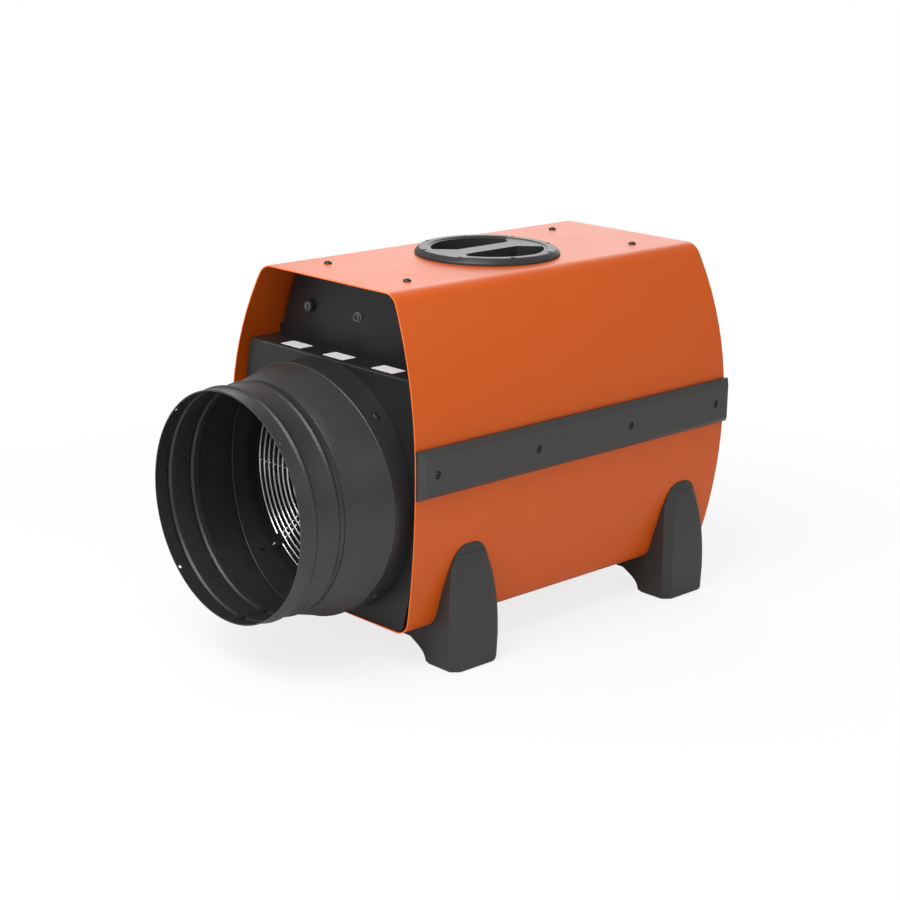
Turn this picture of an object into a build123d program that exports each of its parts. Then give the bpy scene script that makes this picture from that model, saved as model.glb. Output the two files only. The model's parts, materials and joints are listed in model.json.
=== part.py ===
from build123d import *
import os
from math import cos, pi, radians, sin, sqrt

# Industrial electric fan heater with a beaded hose adapter on its air outlet.
# Millimetres, +Z up, width along X, outlet towards -Y, standing on z = 0.
# Lengths named along the heater start at the front corners of the casing, heights at its underside.

# Casing sleeve
casing_length = 570.0
casing_height = 438.5
casing_half_width = 184.9
widest_from = 207.7
widest_to = 217.0
upper_side_radius = 461.0
lower_side_radius = 775.0
top_corner_radius = 9.0
bottom_corner_radius = 25.0
front_bow = 12.0
rear_bow = 10.0
casing_sheet = 1.5
ground_gap = 53.0

# General fits
sheet_gap = 0.3
hole_gap = 0.3
sliding_gap = 0.25
running_gap = 0.05

# Sides of small round shapes that are drawn as polygons
hole_sides = 8
shank_sides = 6
head_sides = 12
hex_sides = 6

# Front cover with its ledge, and the control panel above it
cover_sheet = 1.5
cover_side_inset = 10.5
cover_setback = 2.0
ledge_height = 335.0
ledge_depth = 52.0
rear_cover_setback = 14.0
cover_flange = 14.0

# Air path
air_axis_height = 167.8
outlet_radius = 149.0
duct_radius = 152.0
duct_sheet = 1.0
duct_length = 345.0
shroud_front = 344.0
shroud_length = 84.0
shroud_wall = 2.0
shroud_lip = 12.0
collar_length = 26.0
cut_out_place = 180.0

# Hose adapter
spigot_radius = 150.0
spigot_reach = 164.6
adapter_sheet = 1.2
bead_height = 2.5
bead_width = 9.0
front_bead = 142.7
rear_bead = 107.5
cone_start = 96.0
cone_lap = 1.0
cone_end = 20.0
cone_side_radius = 168.5
cone_top_radius = 172.9
collar_radius = 166.0
lip_hole_setback = 4.6
lip_hole_radius = 2.2
adapter_screw_setback = 18.0
adapter_screw_head = 4.5
adapter_screw_rise = 2.6
adapter_screw_shank = 2.0

# Wire guards
wire = 2.6
intake_pitch = 14.0
guard_outer_radius = 145.0
guard_pitch = 10.0
guard_rings = 13
guard_sides = 24
inner_guard_sides = 16
guard_spoke_spread = 7.6
guard_spoke_start = 22.0
clip_width = 15.0
clip_thickness = 1.2
clip_reach = 8.0
clip_tail = 5.0
clip_screw_head = 3.0
clip_screw_rise = 2.4
clip_screw_shank = 1.6
clip_screw_tail = 3.9

# Side rails
rail_low = 190.0
rail_high = 252.5
rail_face = 196.5
rail_tail = 2.0
rail_chamfer = 7.5
rail_screw_first = 14.0
rail_screw_pitch = 178.0
rail_screw_count = 4
rail_screw_head = 5.0
rail_screw_recess = 4.0
rail_screw_shank = 2.2

# Feet
foot_face = 197.0
foot_centre = 89.0
foot_pitch = 413.0
foot_half_length = 42.5
foot_shoulder = 76.0
foot_peak = 113.5
foot_arc_start = 45.0
foot_arc_radius = 189.6
foot_toe = 149.5
foot_flare_run = 6.5
foot_flare_rise = 4.0
foot_arch_bulge = 3.5
foot_web_inner = 101.0
foot_web_run = 13.0
foot_web_depth = 22.0
foot_bevel = 8.0
foot_screw_spread = 50.0
foot_screw_side = 122.0
foot_screw_head = 5.0
foot_screw_seat = 12.0
foot_screw_head_height = 3.0
foot_screw_shank = 2.5

# Top handle
handle_centre = 285.0
handle_radius = 99.0
handle_rim = 4.0
handle_rise = 10.0
handle_dish = 7.5
handle_shoulder = 6.0
pocket_radius = 77.0
handle_wall = 3.0
handle_depth = 46.0
bar_half_width = 15.0
bar_thickness = 20.0
bar_bend = 41.0
bar_flare = 15.0
handle_screw_circle = 90.5
handle_screw_count = 8
handle_screw_start = 22.5
handle_screw_head = 3.4
handle_screw_shank = 1.6
handle_screw_seat = 7.0
handle_screw_rise = 2.2

# Screws in the top of the casing
top_screw_side = 77.5
top_screw_front = 68.5
top_screw_rear = 493.0
top_screw_head = 5.5
top_screw_rise = 3.0
top_screw_shank = 2.2

# Controls on the panel
control_drop = 57.0
control_pitch = 95.0
knob_radius = 8.0
knob_length = 15.0
knob_ribs = 12
knob_groove = 0.9
control_bush_radius = 4.5
control_stem_radius = 2.5
stem_length = 10.0
button_radius = 4.0
button_rise = 5.0
button_travel = 3.0
button_stem_radius = 1.5
button_stem_length = 6.0
bezel_radius = 7.0
bezel_rise = 2.4
bezel_tube_radius = 5.4
bezel_tube_length = 6.0
bush_rise = 0.9
knob_gap = 0.6
switch_side = 38.0
switch_depth = 42.0
reset_side = 22.0
reset_depth = 26.0

# Heating elements
element_tube = 8.0
element_radii = (62.0, 96.0, 130.0)
element_sides = 20
element_front = 70.0
element_step = 26.0
element_leg = 3.0
element_spread = 6.0
spider_sheet = 1.5
spider_hub = 20.0

# Fan
fan_centre = 386.0
hub_radius = 46.0
hub_length = 44.0
blade_count = 7
blade_tip_radius = 144.0
blade_root_chord = 46.0
blade_tip_chord = 78.0
blade_root_angle = 38.0
blade_tip_angle = 66.0
blade_thickness = 2.4
shaft_radius = 6.0
shaft_nose = 10.0
shaft_tail = 66.0
shaft_end_gap = 1.0
motor_radius = 42.0
motor_length = 76.0
motor_gap = 6.0
bracket_sheet = 3.0
bracket_arm = 18.0
bracket_arms = 4

# Chassis inside
cradle_half_width = 112.0
cradle_height = 62.0
cradle_sheet = 2.0
tray_drop = 4.0
tray_length = 240.0
tray_flange = 15.0
tray_sheet = 1.5
terminal_length = 70.0
terminal_depth = 24.0
terminal_height = 22.0
contactor_width = 45.0
contactor_depth = 60.0
contactor_height = 58.0
contactor_spacing = 60.0
contactor_place = 90.0
cut_out_radius = 12.0
cut_out_height = 9.0
cut_out_sides = 12

# Cable gland in the rear cover
gland_side = 110.0
gland_drop = 56.5
gland_radius = 10.0
gland_hex = 14.0
gland_length = 22.0
gland_reach = 12.0
gland_bore = 6.0
gland_nut_length = 6.0

# Places worked out from the sizes above
rear_end = casing_length + rear_bow + rail_tail
front = (spigot_reach - rear_end) / 2
air_height = ground_gap + air_axis_height
top_height = ground_gap + casing_height
control_height = casing_height - control_drop
gland_height = casing_height - gland_drop
tray_height = ledge_height - tray_drop
cover_back = cover_setback + cover_sheet
panel_face = cover_setback + ledge_depth
rear_face = casing_length - rear_cover_setback
collar_wall = collar_radius - adapter_sheet - sliding_gap
upper_centre = casing_half_width - upper_side_radius
lower_centre = casing_half_width - lower_side_radius
past = 5.0


def section(y):
    """Plane square to the length: local x is X, local y is height over the casing's underside."""
    return Plane(origin=(0, front + y, ground_gap), x_dir=(1, 0, 0), z_dir=(0, -1, 0))


def air_section(y):
    """Plane square to the air axis and centred on it."""
    return Plane(origin=(0, front + y, air_height), x_dir=(1, 0, 0), z_dir=(0, -1, 0))


def level(height):
    """Level plane at a height over the casing's underside, centred on the casing's front corners."""
    return Plane(origin=(0, front, ground_gap + height), x_dir=(1, 0, 0), z_dir=(0, 0, 1))


def radial(y, angle, radius):
    """Plane that faces outwards from the air axis at an angle from straight up."""
    out = (sin(radians(angle)), 0, cos(radians(angle)))
    origin = (radius * out[0], front + y, air_height + radius * out[2])
    return Plane(origin=origin, x_dir=(0, 1, 0), z_dir=out)


side_view = Plane(origin=(0, front, ground_gap), x_dir=(0, 1, 0), z_dir=(1, 0, 0))
air_side = Plane(origin=(0, front, air_height), x_dir=(0, 1, 0), z_dir=(1, 0, 0))
air_axis = Axis((0, front, air_height), (0, 1, 0))
diagonals = (45, 135, 225, 315)


def upper_x(height, inset=0.0):
    """Half width of the casing's upper side arc at a height."""
    return upper_centre + sqrt((upper_side_radius - inset) ** 2 - (height - widest_to) ** 2)


def lower_x(height, inset=0.0):
    """Half width of the casing's lower side arc at a height."""
    return lower_centre + sqrt((lower_side_radius - inset) ** 2 - (widest_from - height) ** 2)


def bow_depth(height, bow):
    """How far a bowed end edge lies behind its foremost point at a height."""
    bow_radius = ((casing_height / 2) ** 2 + bow**2) / (2 * bow)
    return bow_radius - sqrt(bow_radius**2 - (height - casing_height / 2) ** 2)


def barrel(plane, inset, bottom, top, bottom_corner=0.0, top_corner=0.0):
    """Barrel section of the casing, drawn in by an inset, from one height to another."""
    low_mid = (bottom + widest_from) / 2
    high_mid = (top + widest_to) / 2
    widest = casing_half_width - inset
    with BuildSketch(plane) as outline:
        with BuildLine():
            ThreePointArc(
                (lower_x(bottom, inset), bottom),
                (lower_x(low_mid, inset), low_mid),
                (widest, widest_from),
            )
            Line((widest, widest_from), (widest, widest_to))
            ThreePointArc(
                (widest, widest_to),
                (upper_x(high_mid, inset), high_mid),
                (upper_x(top, inset), top),
            )
            mirror(about=Plane.YZ)
            Line((-upper_x(top, inset), top), (upper_x(top, inset), top))
            Line((-lower_x(bottom, inset), bottom), (lower_x(bottom, inset), bottom))
        make_face()
        if top_corner > 0:
            fillet(outline.vertices().group_by(Axis.Y)[-1], top_corner)
        if bottom_corner > 0:
            fillet(outline.vertices().group_by(Axis.Y)[0], bottom_corner)
    return outline.sketch


def casing_form(clearance):
    """The casing's outer form, grown by a clearance, to cut what seats against it."""
    with BuildPart() as form:
        outline = barrel(
            section(rear_end + past),
            -clearance,
            -clearance,
            casing_height + clearance,
            bottom_corner_radius + clearance,
            top_corner_radius + clearance,
        )
        extrude(outline, amount=rear_end + front_bow + 2 * past)
    return form.part


def screw_hole(radius, mode=Mode.ADD):
    """A screw's clearance hole, drawn in the sketch at hand."""
    RegularPolygon(radius + hole_gap, hole_sides, major_radius=False, mode=mode)


def screw_shank(radius):
    """A screw's shank, drawn in the sketch at hand."""
    RegularPolygon(radius, shank_sides)


def save(piece, name):
    piece.part.label = name
    export_step(piece.part, "parts/" + name + ".step")


rail_screw_places = [rail_screw_first + rail_screw_pitch * n for n in range(rail_screw_count)]
rail_middle = (rail_low + rail_high) / 2
foot_places = (foot_centre, foot_centre + foot_pitch)
foot_screw_places = [
    (side * foot_screw_side, centre + shift)
    for side in (-1, 1)
    for centre in foot_places
    for shift in (-foot_screw_spread / 2, foot_screw_spread / 2)
]
top_screw_places = [
    (side * top_screw_side, y) for side in (-1, 1) for y in (top_screw_front, top_screw_rear)
]

# Casing: one wrapped sheet, open at both ends, with bowed end edges
with BuildPart() as casing:
    tail = section(casing_length + rear_bow)
    outer_outline = barrel(tail, 0, 0, casing_height, bottom_corner_radius, top_corner_radius)
    extrude(outer_outline, amount=casing_length + rear_bow + front_bow)
    inner_outline = barrel(
        tail,
        casing_sheet,
        casing_sheet,
        casing_height - casing_sheet,
        bottom_corner_radius - casing_sheet,
        top_corner_radius - casing_sheet,
    )
    extrude(inner_outline, amount=casing_length + rear_bow + front_bow, mode=Mode.SUBTRACT)
    with BuildSketch(side_view):
        with BuildLine():
            ThreePointArc(
                (bow_depth(-past, front_bow) - front_bow, -past),
                (-front_bow, casing_height / 2),
                (bow_depth(-past, front_bow) - front_bow, casing_height + past),
            )
            ThreePointArc(
                (casing_length + rear_bow - bow_depth(-past, rear_bow), casing_height + past),
                (casing_length + rear_bow, casing_height / 2),
                (casing_length + rear_bow - bow_depth(-past, rear_bow), -past),
            )
            Line(
                (bow_depth(-past, front_bow) - front_bow, casing_height + past),
                (casing_length + rear_bow - bow_depth(-past, rear_bow), casing_height + past),
            )
            Line(
                (bow_depth(-past, front_bow) - front_bow, -past),
                (casing_length + rear_bow - bow_depth(-past, rear_bow), -past),
            )
        make_face()
    extrude(amount=casing_half_width + past, both=True, mode=Mode.INTERSECT)
    with BuildSketch(level(casing_height + past)):
        with Locations((0, handle_centre)):
            Circle(pocket_radius + handle_wall + sheet_gap)
        with Locations(*top_screw_places):
            screw_hole(top_screw_shank)
    extrude(amount=-(casing_sheet + 2 * past), mode=Mode.SUBTRACT)
    with BuildSketch(level(casing_height + past)):
        with Locations((0, handle_centre)):
            with PolarLocations(handle_screw_circle, handle_screw_count, start_angle=handle_screw_start):
                screw_hole(handle_screw_shank)
    extrude(amount=-(casing_sheet + 2 * past), mode=Mode.SUBTRACT)
    with BuildSketch(level(-past)):
        with Locations(*foot_screw_places):
            screw_hole(foot_screw_shank)
    extrude(amount=casing_sheet + 2 * past, mode=Mode.SUBTRACT)
    with BuildSketch(side_view):
        with Locations(*[(y, rail_middle) for y in rail_screw_places]):
            screw_hole(rail_screw_shank)
    extrude(amount=casing_half_width + past, both=True, mode=Mode.SUBTRACT)
save(casing, "casing")

# Front cover: flat plate, ledge bent back along its top, flange along the casing floor
with BuildPart() as front_cover:
    plate = barrel(
        section(cover_back),
        cover_side_inset,
        casing_sheet,
        ledge_height,
        bottom_corner_radius - cover_side_inset,
    )
    extrude(plate, amount=cover_sheet)
    ledge_half = upper_x(ledge_height, cover_side_inset)
    with BuildSketch(section(panel_face)):
        with Locations((0, ledge_height - cover_sheet / 2)):
            Rectangle(2 * ledge_half, cover_sheet)
    extrude(amount=ledge_depth)
    floor_half = lower_x(casing_sheet, casing_sheet) - bottom_corner_radius
    with BuildSketch(section(cover_back + cover_flange)):
        with Locations((0, casing_sheet + cover_sheet / 2)):
            Rectangle(2 * floor_half, cover_sheet)
    extrude(amount=cover_flange)
    with BuildSketch(air_section(cover_back + past)):
        Circle(outlet_radius)
    extrude(amount=cover_sheet + 2 * past, mode=Mode.SUBTRACT)
    with BuildSketch(air_section(cover_back + past)):
        with PolarLocations(outlet_radius + clip_reach, len(diagonals), start_angle=45):
            screw_hole(clip_screw_shank)
    extrude(amount=cover_sheet + 2 * past, mode=Mode.SUBTRACT)
save(front_cover, "front_cover")

# Control panel above the ledge, with a strip behind the ledge and a flange under the casing's top
panel_back = panel_face + cover_sheet
panel_top = casing_height - casing_sheet
panel_flange = top_screw_front - panel_back + cover_flange / 2
with BuildPart() as control_panel:
    extrude(barrel(section(panel_back), cover_side_inset, casing_sheet, panel_top), amount=cover_sheet)
    split(bisect_by=level(ledge_height - cover_flange), keep=Keep.TOP)
    with BuildSketch(section(panel_back + panel_flange)):
        with Locations((0, panel_top - cover_sheet / 2)):
            Rectangle(2 * (upper_x(panel_top, casing_sheet) - top_corner_radius), cover_sheet)
    extrude(amount=panel_flange)
    with BuildSketch(level(casing_height)):
        with Locations((-top_screw_side, top_screw_front), (top_screw_side, top_screw_front)):
            screw_hole(top_screw_shank)
    extrude(amount=-(casing_sheet + cover_sheet + past), mode=Mode.SUBTRACT)
    with BuildSketch(section(panel_back + past)):
        with Locations((-control_pitch, control_height), (control_pitch, control_height)):
            Circle(control_bush_radius + hole_gap)
        with Locations((0, control_height)):
            Circle(bezel_tube_radius + hole_gap)
    extrude(amount=cover_sheet + 2 * past, mode=Mode.SUBTRACT)
save(control_panel, "control_panel")

# Outlet collar: the ring on the front cover that carries the hose adapter
with BuildPart() as outlet_collar:
    with BuildSketch(air_section(cover_setback)):
        Circle(collar_wall)
        Circle(collar_wall - adapter_sheet, mode=Mode.SUBTRACT)
    extrude(amount=collar_length)
    with BuildSketch(*[radial(-adapter_screw_setback, angle, 0) for angle in diagonals]):
        screw_hole(adapter_screw_shank)
    extrude(amount=collar_radius + past, mode=Mode.SUBTRACT)
save(outlet_collar, "outlet_collar")


def flared_cone(shrink):
    """Cone from a round front to an oval rear, cut to the round collar, so its rear edge is bowed."""
    with BuildPart() as cone:
        with BuildSketch(air_section(-cone_end)):
            Ellipse(cone_side_radius - shrink, cone_top_radius - shrink)
        with BuildSketch(air_section(-cone_start)):
            Circle(spigot_radius + cone_lap - shrink)
        loft(ruled=True)
        with BuildSketch(air_section(-cone_end + past)):
            Circle(collar_radius - shrink)
        extrude(amount=cone_start - cone_end + 2 * past, mode=Mode.INTERSECT)
    return cone.part


# Hose adapter: beaded spigot, lapped cone with a bowed rear edge, and the collar over the outlet
with BuildPart() as hose_adapter:
    add(flared_cone(0))
    add(flared_cone(adapter_sheet), mode=Mode.SUBTRACT)
    with BuildSketch(air_section(cover_setback - sheet_gap)):
        Circle(collar_radius)
        Circle(collar_radius - adapter_sheet, mode=Mode.SUBTRACT)
    extrude(amount=cover_setback - sheet_gap + cone_end)
    with BuildSketch(air_side):
        with BuildLine():
            Polyline(
                (-spigot_reach, spigot_radius - adapter_sheet),
                (-spigot_reach, spigot_radius),
                (-front_bead - bead_width / 2, spigot_radius),
                (-front_bead, spigot_radius + bead_height),
                (-front_bead + bead_width / 2, spigot_radius),
                (-rear_bead - bead_width / 2, spigot_radius),
                (-rear_bead, spigot_radius + bead_height),
                (-rear_bead + bead_width / 2, spigot_radius),
                (-cone_start + past, spigot_radius),
                (-cone_start + past, spigot_radius - adapter_sheet),
                close=True,
            )
        make_face()
    revolve(axis=air_axis)
    with BuildSketch(*[radial(-adapter_screw_setback, angle, 0) for angle in diagonals]):
        screw_hole(adapter_screw_shank)
    extrude(amount=collar_radius + past, mode=Mode.SUBTRACT)
    with BuildSketch(*[radial(-spigot_reach + lip_hole_setback, angle, 0) for angle in diagonals]):
        RegularPolygon(lip_hole_radius, hole_sides)
    extrude(amount=spigot_radius + past, mode=Mode.SUBTRACT)
save(hose_adapter, "hose_adapter")

# Four pan head screws through the adapter and the collar
with BuildPart() as adapter_screws:
    seats = [radial(-adapter_screw_setback, angle, collar_radius) for angle in diagonals]
    with BuildSketch(*seats):
        RegularPolygon(adapter_screw_head, head_sides)
    extrude(amount=adapter_screw_rise)
    with BuildSketch(*seats):
        screw_shank(adapter_screw_shank)
    extrude(amount=-(collar_radius - collar_wall + 2 * adapter_sheet + adapter_screw_rise))
save(adapter_screws, "adapter_screws")

# Outlet guard: concentric wires in front, welded to spokes behind them
guard_front = cover_setback


def wire_ring(radius, sides):
    """Square wire bent to a many-sided ring, drawn in the sketch at hand."""
    RegularPolygon(radius + wire / 2, sides)
    RegularPolygon(radius - wire / 2, sides, mode=Mode.SUBTRACT)


with BuildPart() as outlet_guard:
    for ring in range(guard_rings):
        ring_radius = guard_outer_radius - guard_pitch * ring
        ring_sides = guard_sides if ring_radius > guard_outer_radius / 2 else inner_guard_sides
        with BuildSketch(air_section(guard_front + wire)):
            wire_ring(ring_radius, ring_sides)
        extrude(amount=wire)
    spoke_length = guard_outer_radius - guard_spoke_start
    spoke_middle = guard_spoke_start + spoke_length / 2
    with BuildSketch(air_section(guard_front + 2 * wire)):
        with PolarLocations(spoke_middle, 4):
            Rectangle(spoke_length, wire)
        with PolarLocations(spoke_middle, 4, start_angle=45):
            with Locations((0, guard_spoke_spread / 2), (0, -guard_spoke_spread / 2)):
                Rectangle(spoke_length, wire)
    extrude(amount=wire)
save(outlet_guard, "outlet_guard")


def guard_clip_set(plane, side):
    """Flat straps that hold a guard's outer wire to a cover, each with a hole for its screw."""
    strap_inner = guard_outer_radius - clip_reach
    strap_outer = outlet_radius + clip_reach + clip_tail
    with BuildPart() as clips:
        with BuildSketch(plane):
            with PolarLocations((strap_inner + strap_outer) / 2, len(diagonals), start_angle=45):
                Rectangle(strap_outer - strap_inner, clip_width)
            with PolarLocations(outlet_radius + clip_reach, len(diagonals), start_angle=45):
                screw_hole(clip_screw_shank, Mode.SUBTRACT)
        extrude(amount=side * clip_thickness)
    return clips.part


with BuildPart() as guard_clips:
    add(guard_clip_set(air_section(cover_setback), 1))
save(guard_clips, "guard_clips")

with BuildPart() as guard_clip_screws:
    with BuildSketch(air_section(cover_setback - clip_thickness)):
        with PolarLocations(outlet_radius + clip_reach, len(diagonals), start_angle=45):
            RegularPolygon(clip_screw_head, hex_sides)
    extrude(amount=clip_screw_rise)
    with BuildSketch(air_section(cover_setback - clip_thickness)):
        with PolarLocations(outlet_radius + clip_reach, len(diagonals), start_angle=45):
            screw_shank(clip_screw_shank)
    extrude(amount=-(clip_thickness + clip_screw_tail))
save(guard_clip_screws, "guard_clip_screws")

# Side rails: bevelled strips along the widest part of the casing
with BuildPart() as rail_right:
    with BuildSketch(section(rear_end)):
        with Locations((rail_face, rail_middle)):
            rail_block = 2 * (rail_face - casing_half_width + past)
            Rectangle(rail_block, rail_high - rail_low, align=(Align.MAX, Align.CENTER))
    extrude(amount=rear_end + front_bow)
    chamfer(rail_right.faces().sort_by(Axis.X)[-1].edges(), rail_chamfer)
    add(casing_form(sheet_gap), mode=Mode.SUBTRACT)
    with Locations(*[
        Plane(origin=(rail_face, front + y, ground_gap + rail_middle), x_dir=(0, 1, 0), z_dir=(1, 0, 0))
        for y in rail_screw_places
    ]):
        CounterBoreHole(rail_screw_shank + hole_gap, rail_screw_head + hole_gap, rail_screw_recess)
save(rail_right, "rail_right")

with BuildPart() as rail_left:
    mirror(rail_right.part, about=Plane.YZ)
save(rail_left, "rail_left")

with BuildPart() as rail_screws:
    screw_seat = rail_face - rail_screw_recess
    for side in (-1, 1):
        seat_plane = Plane(
            origin=(side * screw_seat, front, ground_gap + rail_middle), x_dir=(0, 1, 0), z_dir=(side, 0, 0)
        )
        with BuildSketch(seat_plane):
            with Locations(*[(y, 0) for y in rail_screw_places]):
                RegularPolygon(rail_screw_head, head_sides)
        extrude(amount=rail_screw_recess / 2)
        with BuildSketch(seat_plane):
            with Locations(*[(y, 0) for y in rail_screw_places]):
                screw_shank(rail_screw_shank)
        extrude(amount=-(screw_seat - casing_half_width + 2 * past))
save(rail_screws, "rail_screws")

# Feet: moulded brackets with an arched side, a bevelled face and a web under the casing
with BuildPart() as foot_front_right:
    foot_front = foot_centre - foot_half_length
    foot_back = foot_centre + foot_half_length
    with BuildSketch(side_view):
        with BuildLine():
            Polyline(
                (foot_front, foot_shoulder),
                (foot_front, -ground_gap),
                (foot_back, -ground_gap),
                (foot_back, foot_shoulder),
            )
            EllipticalCenterArc(
                (foot_centre, foot_shoulder), foot_half_length, foot_peak - foot_shoulder, arc_size=180
            )
        make_face()
    extrude(amount=foot_face + past)
    arc_rise = foot_peak - foot_arc_start
    arc_inset = foot_arc_radius - sqrt(foot_arc_radius**2 - arc_rise**2)
    arc_half = foot_arc_radius - sqrt(foot_arc_radius**2 - (arc_rise / 2) ** 2)
    flare = Vector(foot_toe - foot_flare_run, -ground_gap + foot_flare_rise)
    arch_end = Vector(foot_web_inner + foot_web_run, -foot_web_depth)
    outwards = (flare - arch_end).normalized().rotate(Axis.Z, 90)
    arch_middle = (flare + arch_end) / 2 + outwards * foot_arch_bulge
    with BuildSketch(section(rear_end)):
        with BuildLine():
            ThreePointArc(
                (foot_face - arc_inset, foot_peak),
                (foot_face - arc_half, foot_arc_start + arc_rise / 2),
                (foot_face, foot_arc_start),
            )
            Polyline((foot_face, foot_arc_start), (foot_face, -ground_gap), (foot_toe, -ground_gap), flare)
            ThreePointArc(flare, arch_middle, arch_end)
            Polyline(
                arch_end,
                (foot_web_inner, -foot_web_depth),
                (foot_web_inner, foot_peak),
                (foot_face - arc_inset, foot_peak),
            )
        make_face()
    extrude(amount=rear_end, mode=Mode.INTERSECT)
    flat_face = foot_front_right.faces().sort_by(Axis.X)[-1]
    curved_face = foot_front_right.faces().sort_by(Axis.X)[-2]
    uprights = flat_face.edges().sort_by(Axis.Z)[1:3]
    arch_edges = curved_face.edges().sort_by(Axis.Z)[1:]
    chamfer(uprights + arch_edges, foot_bevel)
    add(casing_form(sheet_gap), mode=Mode.SUBTRACT)
    with BuildSketch(level(-foot_web_depth - past)):
        with Locations((foot_screw_side, foot_centre)):
            with GridLocations(foot_screw_spread, foot_screw_spread, 1, 2):
                screw_hole(foot_screw_shank)
    extrude(amount=foot_web_depth + 2 * past, mode=Mode.SUBTRACT)
    with BuildSketch(level(-foot_web_depth - past)):
        with Locations((foot_screw_side, foot_centre)):
            with GridLocations(foot_screw_spread, foot_screw_spread, 1, 2):
                RegularPolygon(foot_screw_head + hole_gap, head_sides, major_radius=False)
    extrude(amount=foot_web_depth + past - foot_screw_seat, mode=Mode.SUBTRACT)
save(foot_front_right, "foot_front_right")

with BuildPart() as foot_front_left:
    mirror(foot_front_right.part, about=Plane.YZ)
save(foot_front_left, "foot_front_left")

with BuildPart() as foot_rear_right:
    with Locations((0, foot_pitch, 0)):
        add(foot_front_right.part)
save(foot_rear_right, "foot_rear_right")

with BuildPart() as foot_rear_left:
    with Locations((0, foot_pitch, 0)):
        add(foot_front_left.part)
save(foot_rear_left, "foot_rear_left")

with BuildPart() as foot_screws:
    with BuildSketch(level(-foot_screw_seat)):
        with Locations(*foot_screw_places):
            RegularPolygon(foot_screw_head, hex_sides)
    extrude(amount=-foot_screw_head_height)
    with BuildSketch(level(-foot_screw_seat)):
        with Locations(*foot_screw_places):
            screw_shank(foot_screw_shank)
    extrude(amount=foot_screw_seat + casing_sheet + past)
save(foot_screws, "foot_screws")

# Top handle: a round moulded dish with two half-moon finger pockets and a bar between them
handle_plane = Plane(origin=(0, front + handle_centre, top_height), x_dir=(1, 0, 0), z_dir=(0, 0, 1))
dish_radius = pocket_radius + handle_wall
with BuildPart() as top_handle:
    with BuildSketch(Plane(origin=handle_plane.origin, x_dir=(1, 0, 0), z_dir=(0, -1, 0))):
        with BuildLine():
            Polyline(
                (0, handle_dish - handle_depth),
                (dish_radius, handle_dish - handle_depth),
                (dish_radius, 0),
                (handle_radius, 0),
                (handle_radius, handle_rim),
                (handle_radius - handle_shoulder, handle_rise),
                (dish_radius + handle_wall, handle_rise),
                (dish_radius, handle_dish),
                (0, handle_dish),
                close=True,
            )
        make_face()
    revolve(axis=Axis(handle_plane.origin, (0, 0, 1)))
    with BuildSketch(handle_plane.offset(handle_dish)) as pockets:
        Circle(pocket_radius)
        with BuildLine():
            Polyline(
                (-bar_half_width - bar_flare, -pocket_radius - past),
                (-bar_half_width, -bar_bend),
                (-bar_half_width, pocket_radius + past),
                (bar_half_width + bar_flare, pocket_radius + past),
                (bar_half_width, bar_bend),
                (bar_half_width, -pocket_radius - past),
                close=True,
            )
        make_face(mode=Mode.SUBTRACT)
    extrude(amount=-(handle_depth - handle_wall), mode=Mode.SUBTRACT)
    with BuildSketch(handle_plane.offset(handle_dish - bar_thickness)):
        Rectangle(2 * (bar_half_width + bar_flare), 2 * bar_bend)
    extrude(amount=-(handle_depth - handle_wall - bar_thickness), mode=Mode.SUBTRACT)
    with BuildSketch(handle_plane.offset(-past)):
        with PolarLocations(handle_screw_circle, handle_screw_count, start_angle=handle_screw_start):
            screw_hole(handle_screw_shank)
    extrude(amount=handle_rise + 2 * past, mode=Mode.SUBTRACT)
    with BuildSketch(handle_plane.offset(handle_screw_seat)):
        with PolarLocations(handle_screw_circle, handle_screw_count, start_angle=handle_screw_start):
            RegularPolygon(handle_screw_head + hole_gap, head_sides, major_radius=False)
    extrude(amount=handle_rise, mode=Mode.SUBTRACT)
save(top_handle, "top_handle")

with BuildPart() as handle_screws:
    with BuildSketch(handle_plane.offset(handle_screw_seat)):
        with PolarLocations(handle_screw_circle, handle_screw_count, start_angle=handle_screw_start):
            RegularPolygon(handle_screw_head, head_sides)
    extrude(amount=handle_screw_rise)
    with BuildSketch(handle_plane.offset(handle_screw_seat)):
        with PolarLocations(handle_screw_circle, handle_screw_count, start_angle=handle_screw_start):
            screw_shank(handle_screw_shank)
    extrude(amount=-(handle_screw_seat + casing_sheet + past))
save(handle_screws, "handle_screws")

with BuildPart() as top_screws:
    with BuildSketch(level(casing_height)):
        with Locations(*top_screw_places):
            RegularPolygon(top_screw_head, head_sides)
    extrude(amount=top_screw_rise)
    chamfer(top_screws.edges().group_by(Axis.Z)[-1], top_screw_rise / 2)
    with BuildSketch(level(casing_height)):
        with Locations(*top_screw_places):
            screw_shank(top_screw_shank)
    extrude(amount=-(casing_sheet + past))
save(top_screws, "top_screws")


def panel_spot(side, y):
    """Plane on the control panel's middle line, centred on a control and facing forwards."""
    origin = (side * control_pitch, front + y, ground_gap + control_height)
    return Plane(origin=origin, x_dir=(1, 0, 0), z_dir=(0, -1, 0))


# Ribbed control knobs, each with a stem into its switch
bush_front = panel_face - bush_rise
knob_back = bush_front - knob_gap


def control_knob(side):
    """A knob with straight ribs and a pointer edge, on a stem that runs back into the switch."""
    with BuildPart() as knob:
        with BuildSketch(panel_spot(side, knob_back)):
            Circle(knob_radius - knob_groove)
            with PolarLocations((knob_radius - knob_groove) / 2 + knob_groove / 2, knob_ribs):
                Rectangle(knob_radius, knob_groove * 2)
        extrude(amount=knob_length)
        with BuildSketch(panel_spot(side, knob_back + stem_length)):
            Circle(control_stem_radius)
        extrude(amount=stem_length)
    return knob.part


with BuildPart() as stage_knob:
    add(control_knob(-1))
save(stage_knob, "stage_knob")

with BuildPart() as thermostat_knob:
    add(control_knob(1))
save(thermostat_knob, "thermostat_knob")


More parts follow.
